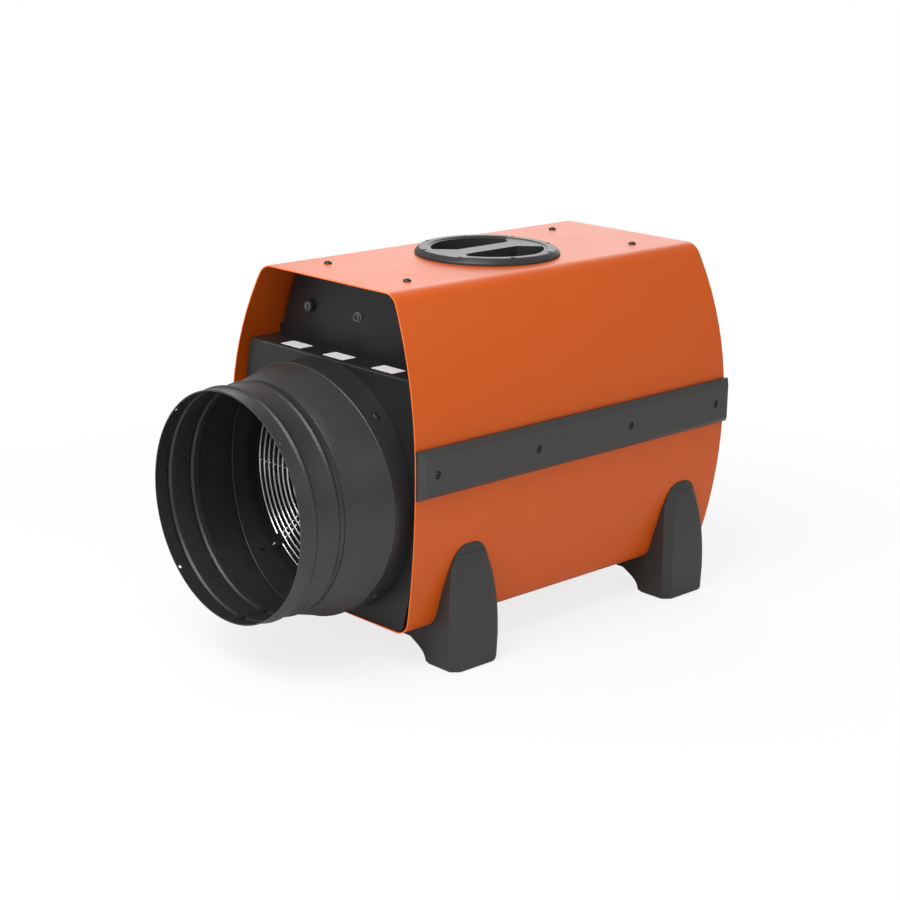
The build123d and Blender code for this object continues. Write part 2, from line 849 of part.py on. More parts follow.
def switch_body(side):
    """A switch behind the panel: its box, and its bush through the panel with a bore for the stem."""
    with BuildPart() as body:
        with BuildSketch(panel_spot(side, panel_back + switch_depth)):
            Rectangle(switch_side, switch_side)
        extrude(amount=switch_depth)
        with BuildSketch(panel_spot(side, panel_back)):
            Circle(control_bush_radius)
        extrude(amount=panel_back - bush_front)
        with BuildSketch(panel_spot(side, bush_front)):
            Circle(control_stem_radius + running_gap)
        extrude(amount=-(stem_length + past), mode=Mode.SUBTRACT)
    return body.part


with BuildPart() as stage_switch:
    add(switch_body(-1))
save(stage_switch, "stage_switch")

with BuildPart() as room_thermostat:
    add(switch_body(1))
save(room_thermostat, "room_thermostat")

# Reset button in its bezel, with its switch behind
reset_switch_front = panel_face + bezel_tube_length
button_back = reset_switch_front - button_travel - knob_gap
with BuildPart() as reset_bezel:
    with BuildSketch(panel_spot(0, panel_face)):
        Circle(bezel_radius)
    extrude(amount=bezel_rise)
    with BuildSketch(panel_spot(0, reset_switch_front)):
        Circle(bezel_tube_radius)
    extrude(amount=bezel_tube_length)
    with BuildSketch(panel_spot(0, reset_switch_front)):
        Circle(button_radius + running_gap * 2)
    extrude(amount=bezel_tube_length + bezel_rise, mode=Mode.SUBTRACT)
save(reset_bezel, "reset_bezel")

with BuildPart() as reset_button:
    with BuildSketch(panel_spot(0, button_back)):
        Circle(button_radius)
    extrude(amount=button_back - panel_face + button_rise)
    with BuildSketch(panel_spot(0, button_back)):
        Circle(button_stem_radius)
    extrude(amount=-button_stem_length)
save(reset_button, "reset_button")

with BuildPart() as reset_switch:
    with BuildSketch(panel_spot(0, reset_switch_front + reset_depth)):
        Rectangle(reset_side, reset_side)
    extrude(amount=reset_depth)
    with BuildSketch(panel_spot(0, reset_switch_front)):
        Circle(button_stem_radius + running_gap)
    extrude(amount=-(button_stem_length + button_travel), mode=Mode.SUBTRACT)
save(reset_switch, "reset_switch")

# Air duct from the front cover back to the fan shroud
duct_back = cover_back + duct_length
element_places = [element_front + element_step * n for n in range(len(element_radii))]
with BuildPart() as air_duct:
    with BuildSketch(air_section(duct_back)):
        Circle(duct_radius)
        Circle(duct_radius - duct_sheet, mode=Mode.SUBTRACT)
    extrude(amount=duct_length)
    leg_angles = (-element_spread, element_spread)
    with BuildSketch(*[radial(y, angle, 0) for y in element_places for angle in leg_angles]):
        Circle(element_tube / 2 + hole_gap)
    extrude(amount=duct_radius + past, mode=Mode.SUBTRACT)
save(air_duct, "air_duct")


def element_form(radius, y, grow):
    """One heating element: a flat-sided tube bent to a ring, with two legs out through the duct."""
    half = element_tube / 2 + grow
    with BuildPart() as element:
        with BuildSketch(air_section(y + half)):
            RegularPolygon(radius + half, element_sides)
            RegularPolygon(radius - half, element_sides, mode=Mode.SUBTRACT)
        extrude(amount=2 * half)
        with BuildSketch(*[radial(y, angle, radius) for angle in (-element_spread, element_spread)]):
            Circle(half)
        extrude(amount=duct_radius - radius + element_leg)
    return element.part


element_names = ("heating_element_inner", "heating_element_middle", "heating_element_outer")
for name, radius, y in zip(element_names, element_radii, element_places):
    with BuildPart() as heating_element:
        add(element_form(radius, y, 0))
    save(heating_element, name)

# Spider: four upright fins round a hub tube, pierced for the elements that they carry
with BuildPart() as element_spider:
    spider_back = element_places[-1] + element_tube
    spider_length = spider_back - element_places[0] + element_tube
    fin_inner = spider_hub - spider_sheet
    fin_outer = duct_radius - duct_sheet - 2 * sheet_gap
    with BuildSketch(air_section(spider_back)):
        with PolarLocations((fin_inner + fin_outer) / 2, 4, start_angle=45):
            Rectangle(fin_outer - fin_inner, spider_sheet)
        Circle(spider_hub)
        Circle(spider_hub - spider_sheet, mode=Mode.SUBTRACT)
    extrude(amount=spider_length)
    for radius, y in zip(element_radii, element_places):
        add(element_form(radius, y, sheet_gap), mode=Mode.SUBTRACT)
save(element_spider, "element_spider")

# Overheat cut-out on top of the duct
with BuildPart() as overheat_cutout:
    with BuildSketch(radial(cut_out_place, 0, duct_radius)):
        RegularPolygon(cut_out_radius, cut_out_sides)
    extrude(amount=cut_out_height)
save(overheat_cutout, "overheat_cutout")

# Fan shroud: a tube that slides into the duct, with a lip at the rear for the motor bracket
shroud_outer = duct_radius - duct_sheet - sheet_gap
shroud_back = shroud_front + shroud_length
with BuildPart() as fan_shroud:
    with BuildSketch(air_section(shroud_back)):
        Circle(shroud_outer)
        Circle(shroud_outer - shroud_wall, mode=Mode.SUBTRACT)
    extrude(amount=shroud_length)
    with BuildSketch(air_section(shroud_back)):
        Circle(shroud_outer + shroud_lip)
        Circle(shroud_outer - shroud_wall, mode=Mode.SUBTRACT)
    extrude(amount=shroud_wall)
save(fan_shroud, "fan_shroud")

# Fan impeller: a hub with twisted blades, trimmed to the tip circle
hub_front = fan_centre - hub_length / 2
hub_back = fan_centre + hub_length / 2
root_radius = hub_radius - past
with BuildPart() as fan_impeller:
    for blade in range(blade_count):
        blade_angle = blade * 360 / blade_count
        with BuildSketch(radial(fan_centre, blade_angle, root_radius)):
            Rectangle(blade_root_chord, blade_thickness, rotation=blade_root_angle)
        with BuildSketch(radial(fan_centre, blade_angle, blade_tip_radius + past)):
            Rectangle(blade_tip_chord, blade_thickness, rotation=blade_tip_angle)
        loft(ruled=True)
    with BuildSketch(air_section(hub_back)):
        Circle(blade_tip_radius)
    extrude(amount=hub_length, mode=Mode.INTERSECT)
    with BuildSketch(air_section(hub_back)):
        Circle(hub_radius)
    extrude(amount=hub_length)
    with BuildSketch(air_section(hub_back)):
        Circle(shaft_radius + running_gap)
    extrude(amount=hub_length, mode=Mode.SUBTRACT)
save(fan_impeller, "fan_impeller")

# Motor behind the fan, its shaft, and the bracket that bolts it to the shroud
motor_front = hub_back + motor_gap
shaft_back = motor_front + shaft_tail
with BuildPart() as fan_shaft:
    with BuildSketch(air_section(shaft_back)):
        Circle(shaft_radius)
    extrude(amount=shaft_back - hub_front + shaft_nose)
save(fan_shaft, "fan_shaft")

with BuildPart() as fan_motor:
    with BuildSketch(air_section(motor_front + motor_length)):
        Circle(motor_radius)
    extrude(amount=motor_length)
    with BuildSketch(air_section(motor_front)):
        Circle(shaft_radius + running_gap)
    extrude(amount=-(shaft_tail + shaft_end_gap), mode=Mode.SUBTRACT)
save(fan_motor, "fan_motor")

with BuildPart() as motor_bracket:
    with BuildSketch(air_section(shroud_back + bracket_sheet)):
        Circle(motor_radius + sheet_gap + bracket_arm / 2)
        with PolarLocations((motor_radius + shroud_outer + shroud_lip / 2) / 2, bracket_arms, start_angle=45):
            Rectangle(shroud_outer + shroud_lip / 2 - motor_radius, bracket_arm)
        Circle(motor_radius + sheet_gap, mode=Mode.SUBTRACT)
    extrude(amount=bracket_sheet)
save(motor_bracket, "motor_bracket")


def cradle(y, radius):
    """Upright plate on the casing floor, hollowed to carry a round piece."""
    with BuildPart() as plate:
        with BuildSketch(section(y)):
            with Locations((0, casing_sheet)):
                Rectangle(2 * cradle_half_width, cradle_height, align=(Align.CENTER, Align.MIN))
            with Locations((0, air_axis_height)):
                Circle(radius + sheet_gap, mode=Mode.SUBTRACT)
        extrude(amount=cradle_sheet)
    return plate.part


with BuildPart() as duct_cradle:
    add(cradle(element_front, duct_radius))
save(duct_cradle, "duct_cradle")

with BuildPart() as shroud_cradle:
    add(cradle(fan_centre, shroud_outer))
save(shroud_cradle, "shroud_cradle")

# Rear cover with the round air inlet, and a wire guard over it
rear_inset = casing_sheet + sheet_gap
with BuildPart() as rear_cover:
    rear_outline = barrel(
        section(rear_face),
        rear_inset,
        casing_sheet,
        casing_height - casing_sheet,
        bottom_corner_radius - rear_inset,
        top_corner_radius - rear_inset,
    )
    extrude(rear_outline, amount=cover_sheet)
    with BuildSketch(section(rear_face)):
        with Locations((0, casing_sheet + cover_sheet / 2)):
            Rectangle(2 * floor_half, cover_sheet)
    extrude(amount=cover_flange)
    with BuildSketch(air_section(rear_face + past)):
        Circle(outlet_radius)
        with PolarLocations(outlet_radius + clip_reach, len(diagonals), start_angle=45):
            screw_hole(clip_screw_shank)
    extrude(amount=cover_sheet + 2 * past, mode=Mode.SUBTRACT)
    with BuildSketch(section(rear_face + past)):
        with Locations((gland_side, gland_height)):
            Circle(gland_radius + hole_gap)
    extrude(amount=cover_sheet + 2 * past, mode=Mode.SUBTRACT)
save(rear_cover, "rear_cover")

with BuildPart() as intake_guard:
    with BuildSketch(air_section(rear_face)):
        wire_ring(guard_outer_radius, guard_sides)
    extrude(amount=wire)
    bar_count = int(guard_outer_radius / intake_pitch)
    flat_radius = guard_outer_radius * cos(pi / guard_sides)
    with BuildSketch(air_section(rear_face)):
        for bar in range(-bar_count, bar_count + 1):
            across = bar * intake_pitch
            with Locations((across, 0)):
                Rectangle(wire, 2 * sqrt(flat_radius**2 - across**2))
    extrude(amount=wire)
save(intake_guard, "intake_guard")

with BuildPart() as intake_clips:
    add(guard_clip_set(air_section(rear_face), -1))
save(intake_clips, "intake_clips")

with BuildPart() as intake_clip_screws:
    with BuildSketch(air_section(rear_face + clip_thickness)):
        with PolarLocations(outlet_radius + clip_reach, len(diagonals), start_angle=45):
            RegularPolygon(clip_screw_head, hex_sides)
    extrude(amount=-clip_screw_rise)
    with BuildSketch(air_section(rear_face + clip_thickness)):
        with PolarLocations(outlet_radius + clip_reach, len(diagonals), start_angle=45):
            screw_shank(clip_screw_shank)
    extrude(amount=clip_thickness + clip_screw_tail)
save(intake_clip_screws, "intake_clip_screws")

# Tray over the duct for the electrics
tray_half = upper_x(tray_height + tray_flange, casing_sheet) - sheet_gap
tray_front = panel_back + sheet_gap
with BuildPart() as electrics_tray:
    with BuildSketch(section(tray_front + tray_length)):
        with Locations((0, tray_height)):
            Rectangle(2 * tray_half, tray_flange, align=(Align.CENTER, Align.MIN))
        with Locations((0, tray_height + tray_sheet)):
            inside = 2 * (tray_half - tray_sheet)
            Rectangle(inside, tray_flange, align=(Align.CENTER, Align.MIN), mode=Mode.SUBTRACT)
    extrude(amount=tray_length)
save(electrics_tray, "electrics_tray")

tray_top = tray_height + tray_sheet
with BuildPart() as contactors:
    with BuildSketch(level(tray_top)):
        with Locations((0, tray_front + contactor_place)):
            with GridLocations(contactor_spacing, contactor_depth, 3, 1):
                Rectangle(contactor_width, contactor_depth)
    extrude(amount=contactor_height)
save(contactors, "contactors")

with BuildPart() as terminal_block:
    with BuildSketch(level(tray_top)):
        with Locations((gland_side - terminal_length / 2, tray_front + tray_length - terminal_depth)):
            Rectangle(terminal_length, terminal_depth)
    extrude(amount=terminal_height)
save(terminal_block, "terminal_block")


def gland_spot(y):
    """Plane on the cable gland's axis, facing forwards."""
    return Plane(
        origin=(gland_side, front + y, ground_gap + gland_height), x_dir=(1, 0, 0), z_dir=(0, -1, 0)
    )


# Cable gland through the rear cover, and its nut inside
with BuildPart() as cable_gland:
    with BuildSketch(gland_spot(rear_face)):
        RegularPolygon(gland_hex, hex_sides)
    extrude(amount=-gland_nut_length)
    with BuildSketch(gland_spot(rear_face + gland_nut_length)):
        RegularPolygon(gland_hex * cos(pi / hex_sides), head_sides)
    extrude(amount=-(gland_reach - gland_nut_length))
    with BuildSketch(gland_spot(rear_face)):
        Circle(gland_radius)
    extrude(amount=gland_length - gland_reach)
    with BuildSketch(gland_spot(rear_face + gland_length)):
        Circle(gland_bore)
    extrude(amount=2 * gland_length, mode=Mode.SUBTRACT)
save(cable_gland, "cable_gland")

with BuildPart() as gland_nut:
    with BuildSketch(gland_spot(rear_face - cover_sheet)):
        RegularPolygon(gland_hex, hex_sides)
        Circle(gland_radius + running_gap, mode=Mode.SUBTRACT)
    extrude(amount=gland_nut_length)
save(gland_nut, "gland_nut")
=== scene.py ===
import json
import math
from collections import namedtuple

import bmesh
import bpy
from mathutils import Matrix, Vector


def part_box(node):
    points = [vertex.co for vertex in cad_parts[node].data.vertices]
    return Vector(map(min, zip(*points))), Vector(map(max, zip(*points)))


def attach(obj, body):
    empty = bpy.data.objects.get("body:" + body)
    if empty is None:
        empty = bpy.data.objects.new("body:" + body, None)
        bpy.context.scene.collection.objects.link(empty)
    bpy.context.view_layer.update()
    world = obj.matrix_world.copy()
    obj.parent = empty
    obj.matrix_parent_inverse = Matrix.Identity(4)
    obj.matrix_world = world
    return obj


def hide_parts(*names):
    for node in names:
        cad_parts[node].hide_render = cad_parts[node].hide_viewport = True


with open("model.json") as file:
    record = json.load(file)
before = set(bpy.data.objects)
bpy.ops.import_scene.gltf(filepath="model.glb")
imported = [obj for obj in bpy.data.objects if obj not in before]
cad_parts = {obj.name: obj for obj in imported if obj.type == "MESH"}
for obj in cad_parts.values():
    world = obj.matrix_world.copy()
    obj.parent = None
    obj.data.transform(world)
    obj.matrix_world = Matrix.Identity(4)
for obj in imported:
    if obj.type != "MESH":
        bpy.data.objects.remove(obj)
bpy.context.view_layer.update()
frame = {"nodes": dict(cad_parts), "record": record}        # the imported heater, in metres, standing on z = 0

bl_info = {
    "name": "Industrial electric heater",
    "version": (1, 0, 0),
    "blender": (4, 5, 0),
    "location": "3D View > Sidebar > Heater",
    "description": "Dresses an industrial electric fan heater: sheet, mouldings, wires, controls and stage",
    "category": "Object",
}

MM = 0.001
NODES = frame["nodes"]

# Places read from the frame
CASING_LOW, CASING_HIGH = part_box("casing")
GUARD_LOW, GUARD_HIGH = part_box("outlet_guard")
ADAPTER_LOW, ADAPTER_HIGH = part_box("hose_adapter")
LEDGE_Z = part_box("front_cover")[1].z
PANEL_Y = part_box("control_panel")[0].y
INTAKE_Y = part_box("intake_guard")[0].y
FRONT_BOW = 12.0 * MM
REAR_BOW = 10.0 * MM
FRONT = CASING_LOW.y + FRONT_BOW
AIR_Z = (GUARD_LOW.z + GUARD_HIGH.z) / 2
COLLAR_RADIUS = (ADAPTER_HIGH.x - ADAPTER_LOW.x) / 2
LIP_Y = ADAPTER_LOW.y
DIAGONALS = (45, 135, 225, 315)

# Shares of a pan head's radius and rise along its dome, from its recess to its rim
DOME = ((0.72, 0.93), (0.93, 0.62), (1.0, 0.25), (0.92, 0.0))
RECESS_SHARE = 0.5
RECESS_DEPTH = 0.4
GLOSS_SPREAD = 0.04
MERGE = 0.002 * MM

ScrewKind = namedtuple("ScrewKind", ("head", "rise", "shank"))


def to_linear(code, alpha=1.0):
    """An sRGB hex value as the linear colour that a shader takes."""
    parts = [int(code[i:i + 2], 16) / 255 for i in (1, 3, 5)]
    return tuple(c / 12.92 if c <= 0.04045 else ((c + 0.055) / 1.055) ** 2.4 for c in parts) + (alpha,)


def colour_property(name, description, code):
    return bpy.props.FloatVectorProperty(
        name=name, description=description, subtype="COLOR", size=4, min=0.0, max=1.0, default=to_linear(code)
    )


def length_property(name, description, millimetres):
    return bpy.props.FloatProperty(
        name=name, description=description, unit="LENGTH", min=0.0, default=millimetres * MM
    )


def number_property(name, description, value):
    return bpy.props.FloatProperty(name=name, description=description, min=0.0, default=value)


class HeaterSizes(bpy.types.PropertyGroup):
    """Sizes of the pieces that are modelled here."""

    wire: length_property("Wire", "Diameter of the guards' wire", 2.9)
    ring_pitch: length_property("Ring pitch", "Distance from one guard ring to the next", 10.0)
    guard_radius: length_property("Guard radius", "Radius of the outermost guard ring", 145.0)
    spoke_start: length_property("Spoke start", "Radius where the guard's spokes begin", 22.0)
    spoke_spread: length_property("Spoke spread", "Distance between the two wires of a diagonal pair", 7.6)
    spigot_radius: length_property("Spigot radius", "Radius of the hose spigot", 150.0)
    adapter_sheet: length_property("Adapter sheet", "Thickness of the adapter's sheet", 1.2)
    bead_height: length_property("Bead height", "How far a rolled bead stands out", 2.4)
    bead_width: length_property("Bead width", "Width of a rolled bead", 9.0)
    top_corner: length_property("Top corner", "Bend radius of the casing's top corners", 22.0)
    bottom_corner: length_property("Bottom corner", "Bend radius of the casing's bottom corners", 25.0)
    casing_sheet: length_property("Casing sheet", "Thickness of the casing's sheet", 1.5)
    foot_length: length_property("Foot length", "Length of a foot along the heater, at its base", 84.0)
    foot_height: length_property("Foot height", "Height of a foot's arch over the floor", 166.5)
    foot_bevel: length_property("Foot bevel", "Bevel between a foot's face and its sides", 9.0)
    moulded_edge: length_property("Moulded edge", "Rounding of moulded edges", 0.9)
    sheet_edge: length_property("Sheet edge", "Rounding of cut and bent sheet edges", 0.4)
    label_length: length_property("Label length", "Length of a blank label on the ledge", 41.0)
    label_width: length_property("Label width", "Width of a blank label on the ledge", 23.0)


class HeaterFinish(bpy.types.PropertyGroup):
    """Colours of the finishes."""

    casing: colour_property("Casing", "Orange powder coat", "#CC5712")
    # Lighter orange of the casing's cut edges: a painted highlight line.
    casing_edge_highlight: colour_property("Casing edge highlight", "Cut edge of the casing, where the coat is thin", "#FF7A30")
    black_coat: colour_property("Black coat", "Black powder coat of the covers", "#1E1E1F")
    adapter: colour_property("Adapter", "Structured black coat of the hose adapter", "#2B2B2C")
    rail: colour_property("Rail", "Grained dark plastic of the rails", "#323231")
    foot: colour_property("Foot", "Grained dark plastic of the feet", "#2C2C2B")
    handle: colour_property("Handle", "Black plastic of the top handle", "#2A2A2C")
    label: colour_property("Label", "Blank label film", "#F2F2F4")


class HeaterStage(bpy.types.PropertyGroup):
    """Camera and light of the stage."""

    azimuth: number_property("Azimuth", "Turn of the view about Z, in degrees", 46.493)
    elevation: number_property("Elevation", "Height of the view over the horizon, in degrees", 15.957)
    roll: number_property("Roll", "Roll of the camera, in degrees", 0.818)
    lens: number_property("Lens", "Focal length in millimetres", 79.45)
    eye: bpy.props.FloatVectorProperty(
        name="Eye", description="Place of the camera", size=3, subtype="TRANSLATION", unit="LENGTH",
        default=(1.9032, -1.7947, 0.9755),
    )
    sky: number_property("Sky", "Strength of the even light", 0.5)
    key: number_property("Key", "Power of the light above the front", 50.0)
    rear: number_property("Rear", "Power of the light behind", 21.0)
    side: number_property("Side", "Power of the light at the side", 6.0)
    front: number_property("Front", "Power of the light in front", 5.0)


def sizes():
    return bpy.context.scene.heater_sizes


def finish():
    return bpy.context.scene.heater_finish


# Materials


def add_node(material, kind, links=(), **values):
    """One shader node with its settings and its links from other nodes' outputs."""
    node = material.node_tree.nodes.new(kind)
    for name, value in values.items():
        socket = node.inputs.get(name.replace("_", " "))
        if socket is not None:
            socket.default_value = value
        else:
            setattr(node, name, value)
    for output, name in links:
        material.node_tree.links.new(output, node.inputs[name])
    return node


def coated(
    name, colour, roughness, grain, relief, patch=70.0, shade=0.06, metallic=0.0, specular=0.5, depth=0.3
):
    """A surface with a grain, soft patches of shade and a slightly uneven gloss.

    Grain, patch and depth are in millimetres. Relief and shade are shares.
    """
    if name in bpy.data.materials:
        return bpy.data.materials[name]
    material = bpy.data.materials.new(name)
    material.use_nodes = True
    tree = material.node_tree
    tree.nodes.clear()
    place = add_node(material, "ShaderNodeTexCoord")
    here = place.outputs["Object"]
    fine = add_node(material, "ShaderNodeTexNoise", [(here, "Vector")], Scale=1 / (grain * MM), Detail=2.0)
    broad = add_node(material, "ShaderNodeTexNoise", [(here, "Vector")], Scale=1 / (patch * MM), Detail=3.0)
    dark = tuple(c * (1 - shade) for c in colour[:3]) + (1.0,)
    light = tuple(min(1.0, c * (1 + shade)) for c in colour[:3]) + (1.0,)
    tint = add_node(material, "ShaderNodeMix", data_type="RGBA")
    tree.links.new(broad.outputs["Fac"], tint.inputs["Factor"])
    for socket in tint.inputs:
        if socket.type == "RGBA" and socket.name == "A":
            socket.default_value = dark
        if socket.type == "RGBA" and socket.name == "B":
            socket.default_value = light
    uneven = add_node(
        material, "ShaderNodeMapRange", [(broad.outputs["Fac"], "Value")],
        To_Min=roughness - GLOSS_SPREAD, To_Max=roughness + GLOSS_SPREAD,
    )
    bump = add_node(
        material, "ShaderNodeBump", [(fine.outputs["Fac"], "Height")], Strength=relief, Distance=depth * MM
    )
    colour_out = [socket for socket in tint.outputs if socket.type == "RGBA"][0]
    shader = add_node(
        material, "ShaderNodeBsdfPrincipled",
        [
            (colour_out, "Base Color"), (uneven.outputs["Result"], "Roughness"),
            (bump.outputs["Normal"], "Normal"),
        ],
        Metallic=metallic, Specular_IOR_Level=specular,
    )
    add_node(material, "ShaderNodeOutputMaterial", [(shader.outputs["BSDF"], "Surface")])
    return material


def orange_powder_coat():
    """Polyester powder coat, sprayed and baked: satin, with a faint orange peel."""
    return coated("orange_powder_coat", finish().casing, 0.38, 1.6, 0.10, shade=0.02, specular=0.25)


def orange_edge_highlight():
    """The same coat on the sheared sheet edges, painted a lighter orange as a highlight line."""
    return coated("orange_coat_painted_edge_highlight", finish().casing_edge_highlight, 0.45, 1.2, 0.10, shade=0.04)


def black_powder_coat():
    """Smooth black powder coat of the bent covers: semi-matt with a fine peel."""
    return coated("black_powder_coat", finish().black_coat, 0.40, 1.4, 0.16, shade=0.08, specular=0.35)


def bend_highlight_coat():
    """The black coat stretched over a bend, painted a lighter grey as a highlight line, and a little smoother.
    """
    return coated("black_coat_painted_bend_highlight", to_linear("#4A4A4B"), 0.30, 1.4, 0.10, shade=0.05)


def structured_black_coat():
    """Black powder coat with a sandy structure. Real grit is 0.4 mm, drawn coarser so that it shows."""
    return coated(
        "structured_black_coat", finish().adapter, 0.36, 2.2, 0.90, patch=40.0, shade=0.10, depth=0.6
    )


def rail_plastic():
    """Extruded dark PVC bumper strip with a fine grain along its whole face."""
    return coated("extruded_rail_pvc", finish().rail, 0.50, 1.1, 0.35, shade=0.06)


def foot_plastic():
    """Injection moulded ABS with a spark-eroded grain."""
    return coated("grained_foot_abs", finish().foot, 0.50, 1.3, 0.60, shade=0.06)


def handle_plastic():
    """Injection moulded glass-filled nylon: dark, satin, with a fine grain."""
    return coated("moulded_handle_nylon", finish().handle, 0.42, 1.0, 0.30, shade=0.08)


def control_plastic():
    """Glossy black thermoset of knobs, button and gland."""
    return coated("glossy_control_phenolic", to_linear("#161617"), 0.28, 1.0, 0.06)


def knob_plastic():
    """Satin black thermoset of the knobs, a little dusty."""
    return coated("satin_knob_phenolic", to_linear("#343436"), 0.42, 1.0, 0.20)


def bezel_plastic():
    """Grey-black polyamide of the reset bezel, satin."""
    return coated("satin_bezel_polyamide", to_linear("#6E6E72"), 0.38, 1.0, 0.10)


def bright_wire():
    """Drawn steel wire with bright zinc plating."""
    return coated("bright_plated_wire", to_linear("#F0F0F1"), 0.22, 0.8, 0.08, metallic=1.0, shade=0.04)


def black_oxide():
    """Black oxide on steel screws, slightly oily."""
    return coated("black_oxide_steel", to_linear("#3A3A3B"), 0.30, 0.8, 0.10, metallic=0.6)


def dark_zinc():
    """Black chromated zinc on steel screws: dark grey with a soft sheen."""
    return coated("black_chromated_zinc", to_linear("#474748"), 0.40, 0.8, 0.10, metallic=0.5)


def zinc_screw():
    """Zinc plated steel screws."""
    return coated("zinc_plated_screw", to_linear("#B9BBBD"), 0.32, 0.8, 0.10, metallic=1.0)


def galvanised_sheet():
    """Hot-dip galvanised sheet of duct, shroud and brackets, with soft spangle patches."""
    return coated(
        "galvanised_sheet", to_linear("#9FA3A6"), 0.42, 3.0, 0.08, patch=12.0, shade=0.16, metallic=1.0
    )


def heated_steel():
    """Stainless heater tube that has been hot: brown-grey oxide."""
    return coated(
        "heated_stainless_tube", to_linear("#5A524C"), 0.48, 1.0, 0.12, patch=15.0, shade=0.2, metallic=0.9
    )


def cast_aluminium():
    """Die cast aluminium of the fan."""
    return coated("die_cast_aluminium", to_linear("#A9ABAD"), 0.45, 1.4, 0.20, metallic=1.0)


def motor_enamel():
    """Baked dark enamel of the motor."""
    return coated("dark_motor_enamel", to_linear("#333436"), 0.40, 1.2, 0.12)


def switch_plastic():
    """Grey polyamide of switches, contactors and terminals."""
    return coated("grey_switch_polyamide", to_linear("#8E8E89"), 0.48, 1.0, 0.12)


def label_film():
    """Blank white label film, satin."""
    return coated("blank_label_film", finish().label, 0.38, 1.0, 0.05, shade=0.02)


def mark_ink():
    """White screen-printed ink of the dial marks."""
    return coated("white_dial_ink", to_linear("#E6E6E6"), 0.55, 0.8, 0.05, shade=0.03)


def pale_knob_dots():
    """Pale grey dots set round the knobs' faces."""
    return coated("pale_grey_knob_dots", to_linear("#A6A6A8"), 0.55, 0.8, 0.05, shade=0.03)


# Mesh helpers


def arc_in(radius, off):
    """How far an arc lies inside its outermost point, at a distance off that point along its chord."""
    return radius - math.sqrt(radius ** 2 - off ** 2)


def spaced(low, high, count, crowd):
    """Heights from low, left out, to high, kept: closer towards high where crowd is over 1."""
    return [high - (high - low) * (1 - step / count) ** crowd for step in range(1, count + 1)]


def block(bm, size, place):
    """A box of a size with its middle at a place."""
    made = bmesh.ops.create_cube(bm, size=1.0)["verts"]
    bmesh.ops.scale(bm, vec=size, verts=made)
    bmesh.ops.translate(bm, vec=place, verts=made)
    return made


def bevelled(bm, edges, width, segments):
    """Rounds edges by a width, in a number of steps."""
    bmesh.ops.bevel(
        bm, geom=edges, offset=width, offset_type="OFFSET", segments=segments, profile=0.5,
        affect="EDGES", clamp_overlap=True, material=-1,
    )


def rounding(thing, width, angle):
    """Rounds an object's sharp edges by a modifier."""
    edge = thing.modifiers.new("rounding", "BEVEL")
    edge.width = width
    edge.segments = 3
    edge.limit_method = "ANGLE"
    edge.angle_limit = math.radians(angle)
    edge.use_clamp_overlap = True


def piece(name, bm, materials, body="heater", replaces=(), sharp=32.0):
    """A finished piece from a bmesh: outward faces, smooth but for its sharp edges, riding on a body."""
    limit = math.radians(sharp)
    for face in bm.faces:
        face.smooth = True
    for edge in bm.edges:
        edge.smooth = len(edge.link_faces) == 2 and edge.calc_face_angle(0.0) < limit
    mesh = bpy.data.meshes.new(name)
    bm.to_mesh(mesh)
    bm.free()
    for material in materials:
        mesh.materials.append(material)
    thing = bpy.data.objects.new(name, mesh)
    bpy.context.scene.collection.objects.link(thing)
    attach(thing, body)
    if replaces:
        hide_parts(*replaces)
    return thing


def slot_of(node):
    for row in frame["record"]["subparts"]:
        if row["node"] == node:
            return row["material_slot"]
    raise RuntimeError("no material slot for " + node)


def body_of(node):
    for body, members in frame["record"]["behaviour"]["bodies"].items():
        if node in members:
            return body
    raise RuntimeError("no body holds " + node)


def evened(thing):
    """Keeps broad flat faces evenly shaded beside their rounded edges."""
    even = thing.modifiers.new("even_shading", "WEIGHTED_NORMAL")
    even.keep_sharp = True
    return thing


def merged_copy(node):
    """The node's surface as one joined mesh, with its flat faces made whole."""
    bm = bmesh.new()
    bm.from_mesh(NODES[node].data)
    bmesh.ops.remove_doubles(bm, verts=bm.verts, dist=MERGE)
    bmesh.ops.dissolve_limit(
        bm, angle_limit=math.radians(0.4), use_dissolve_boundaries=False, verts=bm.verts, edges=bm.edges,
        delimit=set(),
    )
    return bm


def softened(node, width, materials, sharp=30.0):
    """A copy of a CAD node with its hard edges rounded, in the node's place."""
    bm = merged_copy(node)
    if width > 0:
        limit = math.radians(sharp)
        hard = [e for e in bm.edges if len(e.link_faces) == 2 and e.calc_face_angle(0.0) > limit]
        bevelled(bm, hard, width, 2)
    return evened(piece(node + "_body", bm, materials, body_of(node), (node,), sharp))


def revolve(bm, points, steps, closed, centre, axis=(0, 1, 0)):
    """Spins a line of points a full turn round an axis through the centre, and joins its ends."""
    verts = [bm.verts.new(point) for point in points]
    edges = [bm.edges.new(pair) for pair in zip(verts, verts[1:])]
    if closed:
        edges.append(bm.edges.new((verts[-1], verts[0])))
    bmesh.ops.spin(
        bm, geom=verts + edges, cent=centre, axis=axis, dvec=(0, 0, 0), angle=math.tau, steps=steps,
        use_merge=True, use_duplicate=False,
    )
    bmesh.ops.remove_doubles(bm, verts=bm.verts, dist=0.001 * MM)
    bmesh.ops.recalc_face_normals(bm, faces=bm.faces)


def wire_circle(bm, radius, y, thickness, segments=10, steps=96):
    """A round wire bent to a ring about the air axis."""
    turn = Matrix.Translation((0, y, AIR_Z + radius)) @ Matrix.Rotation(math.pi / 2, 4, "Y")
    made = bmesh.ops.create_circle(bm, cap_ends=False, segments=segments, radius=thickness / 2, matrix=turn)
    edges = {edge for vert in made["verts"] for edge in vert.link_edges}
    bmesh.ops.spin(
        bm, geom=made["verts"] + list(edges), cent=(0, 0, AIR_Z), axis=(0, 1, 0), dvec=(0, 0, 0),
        angle=math.tau, steps=steps, use_merge=True, use_duplicate=False,
    )


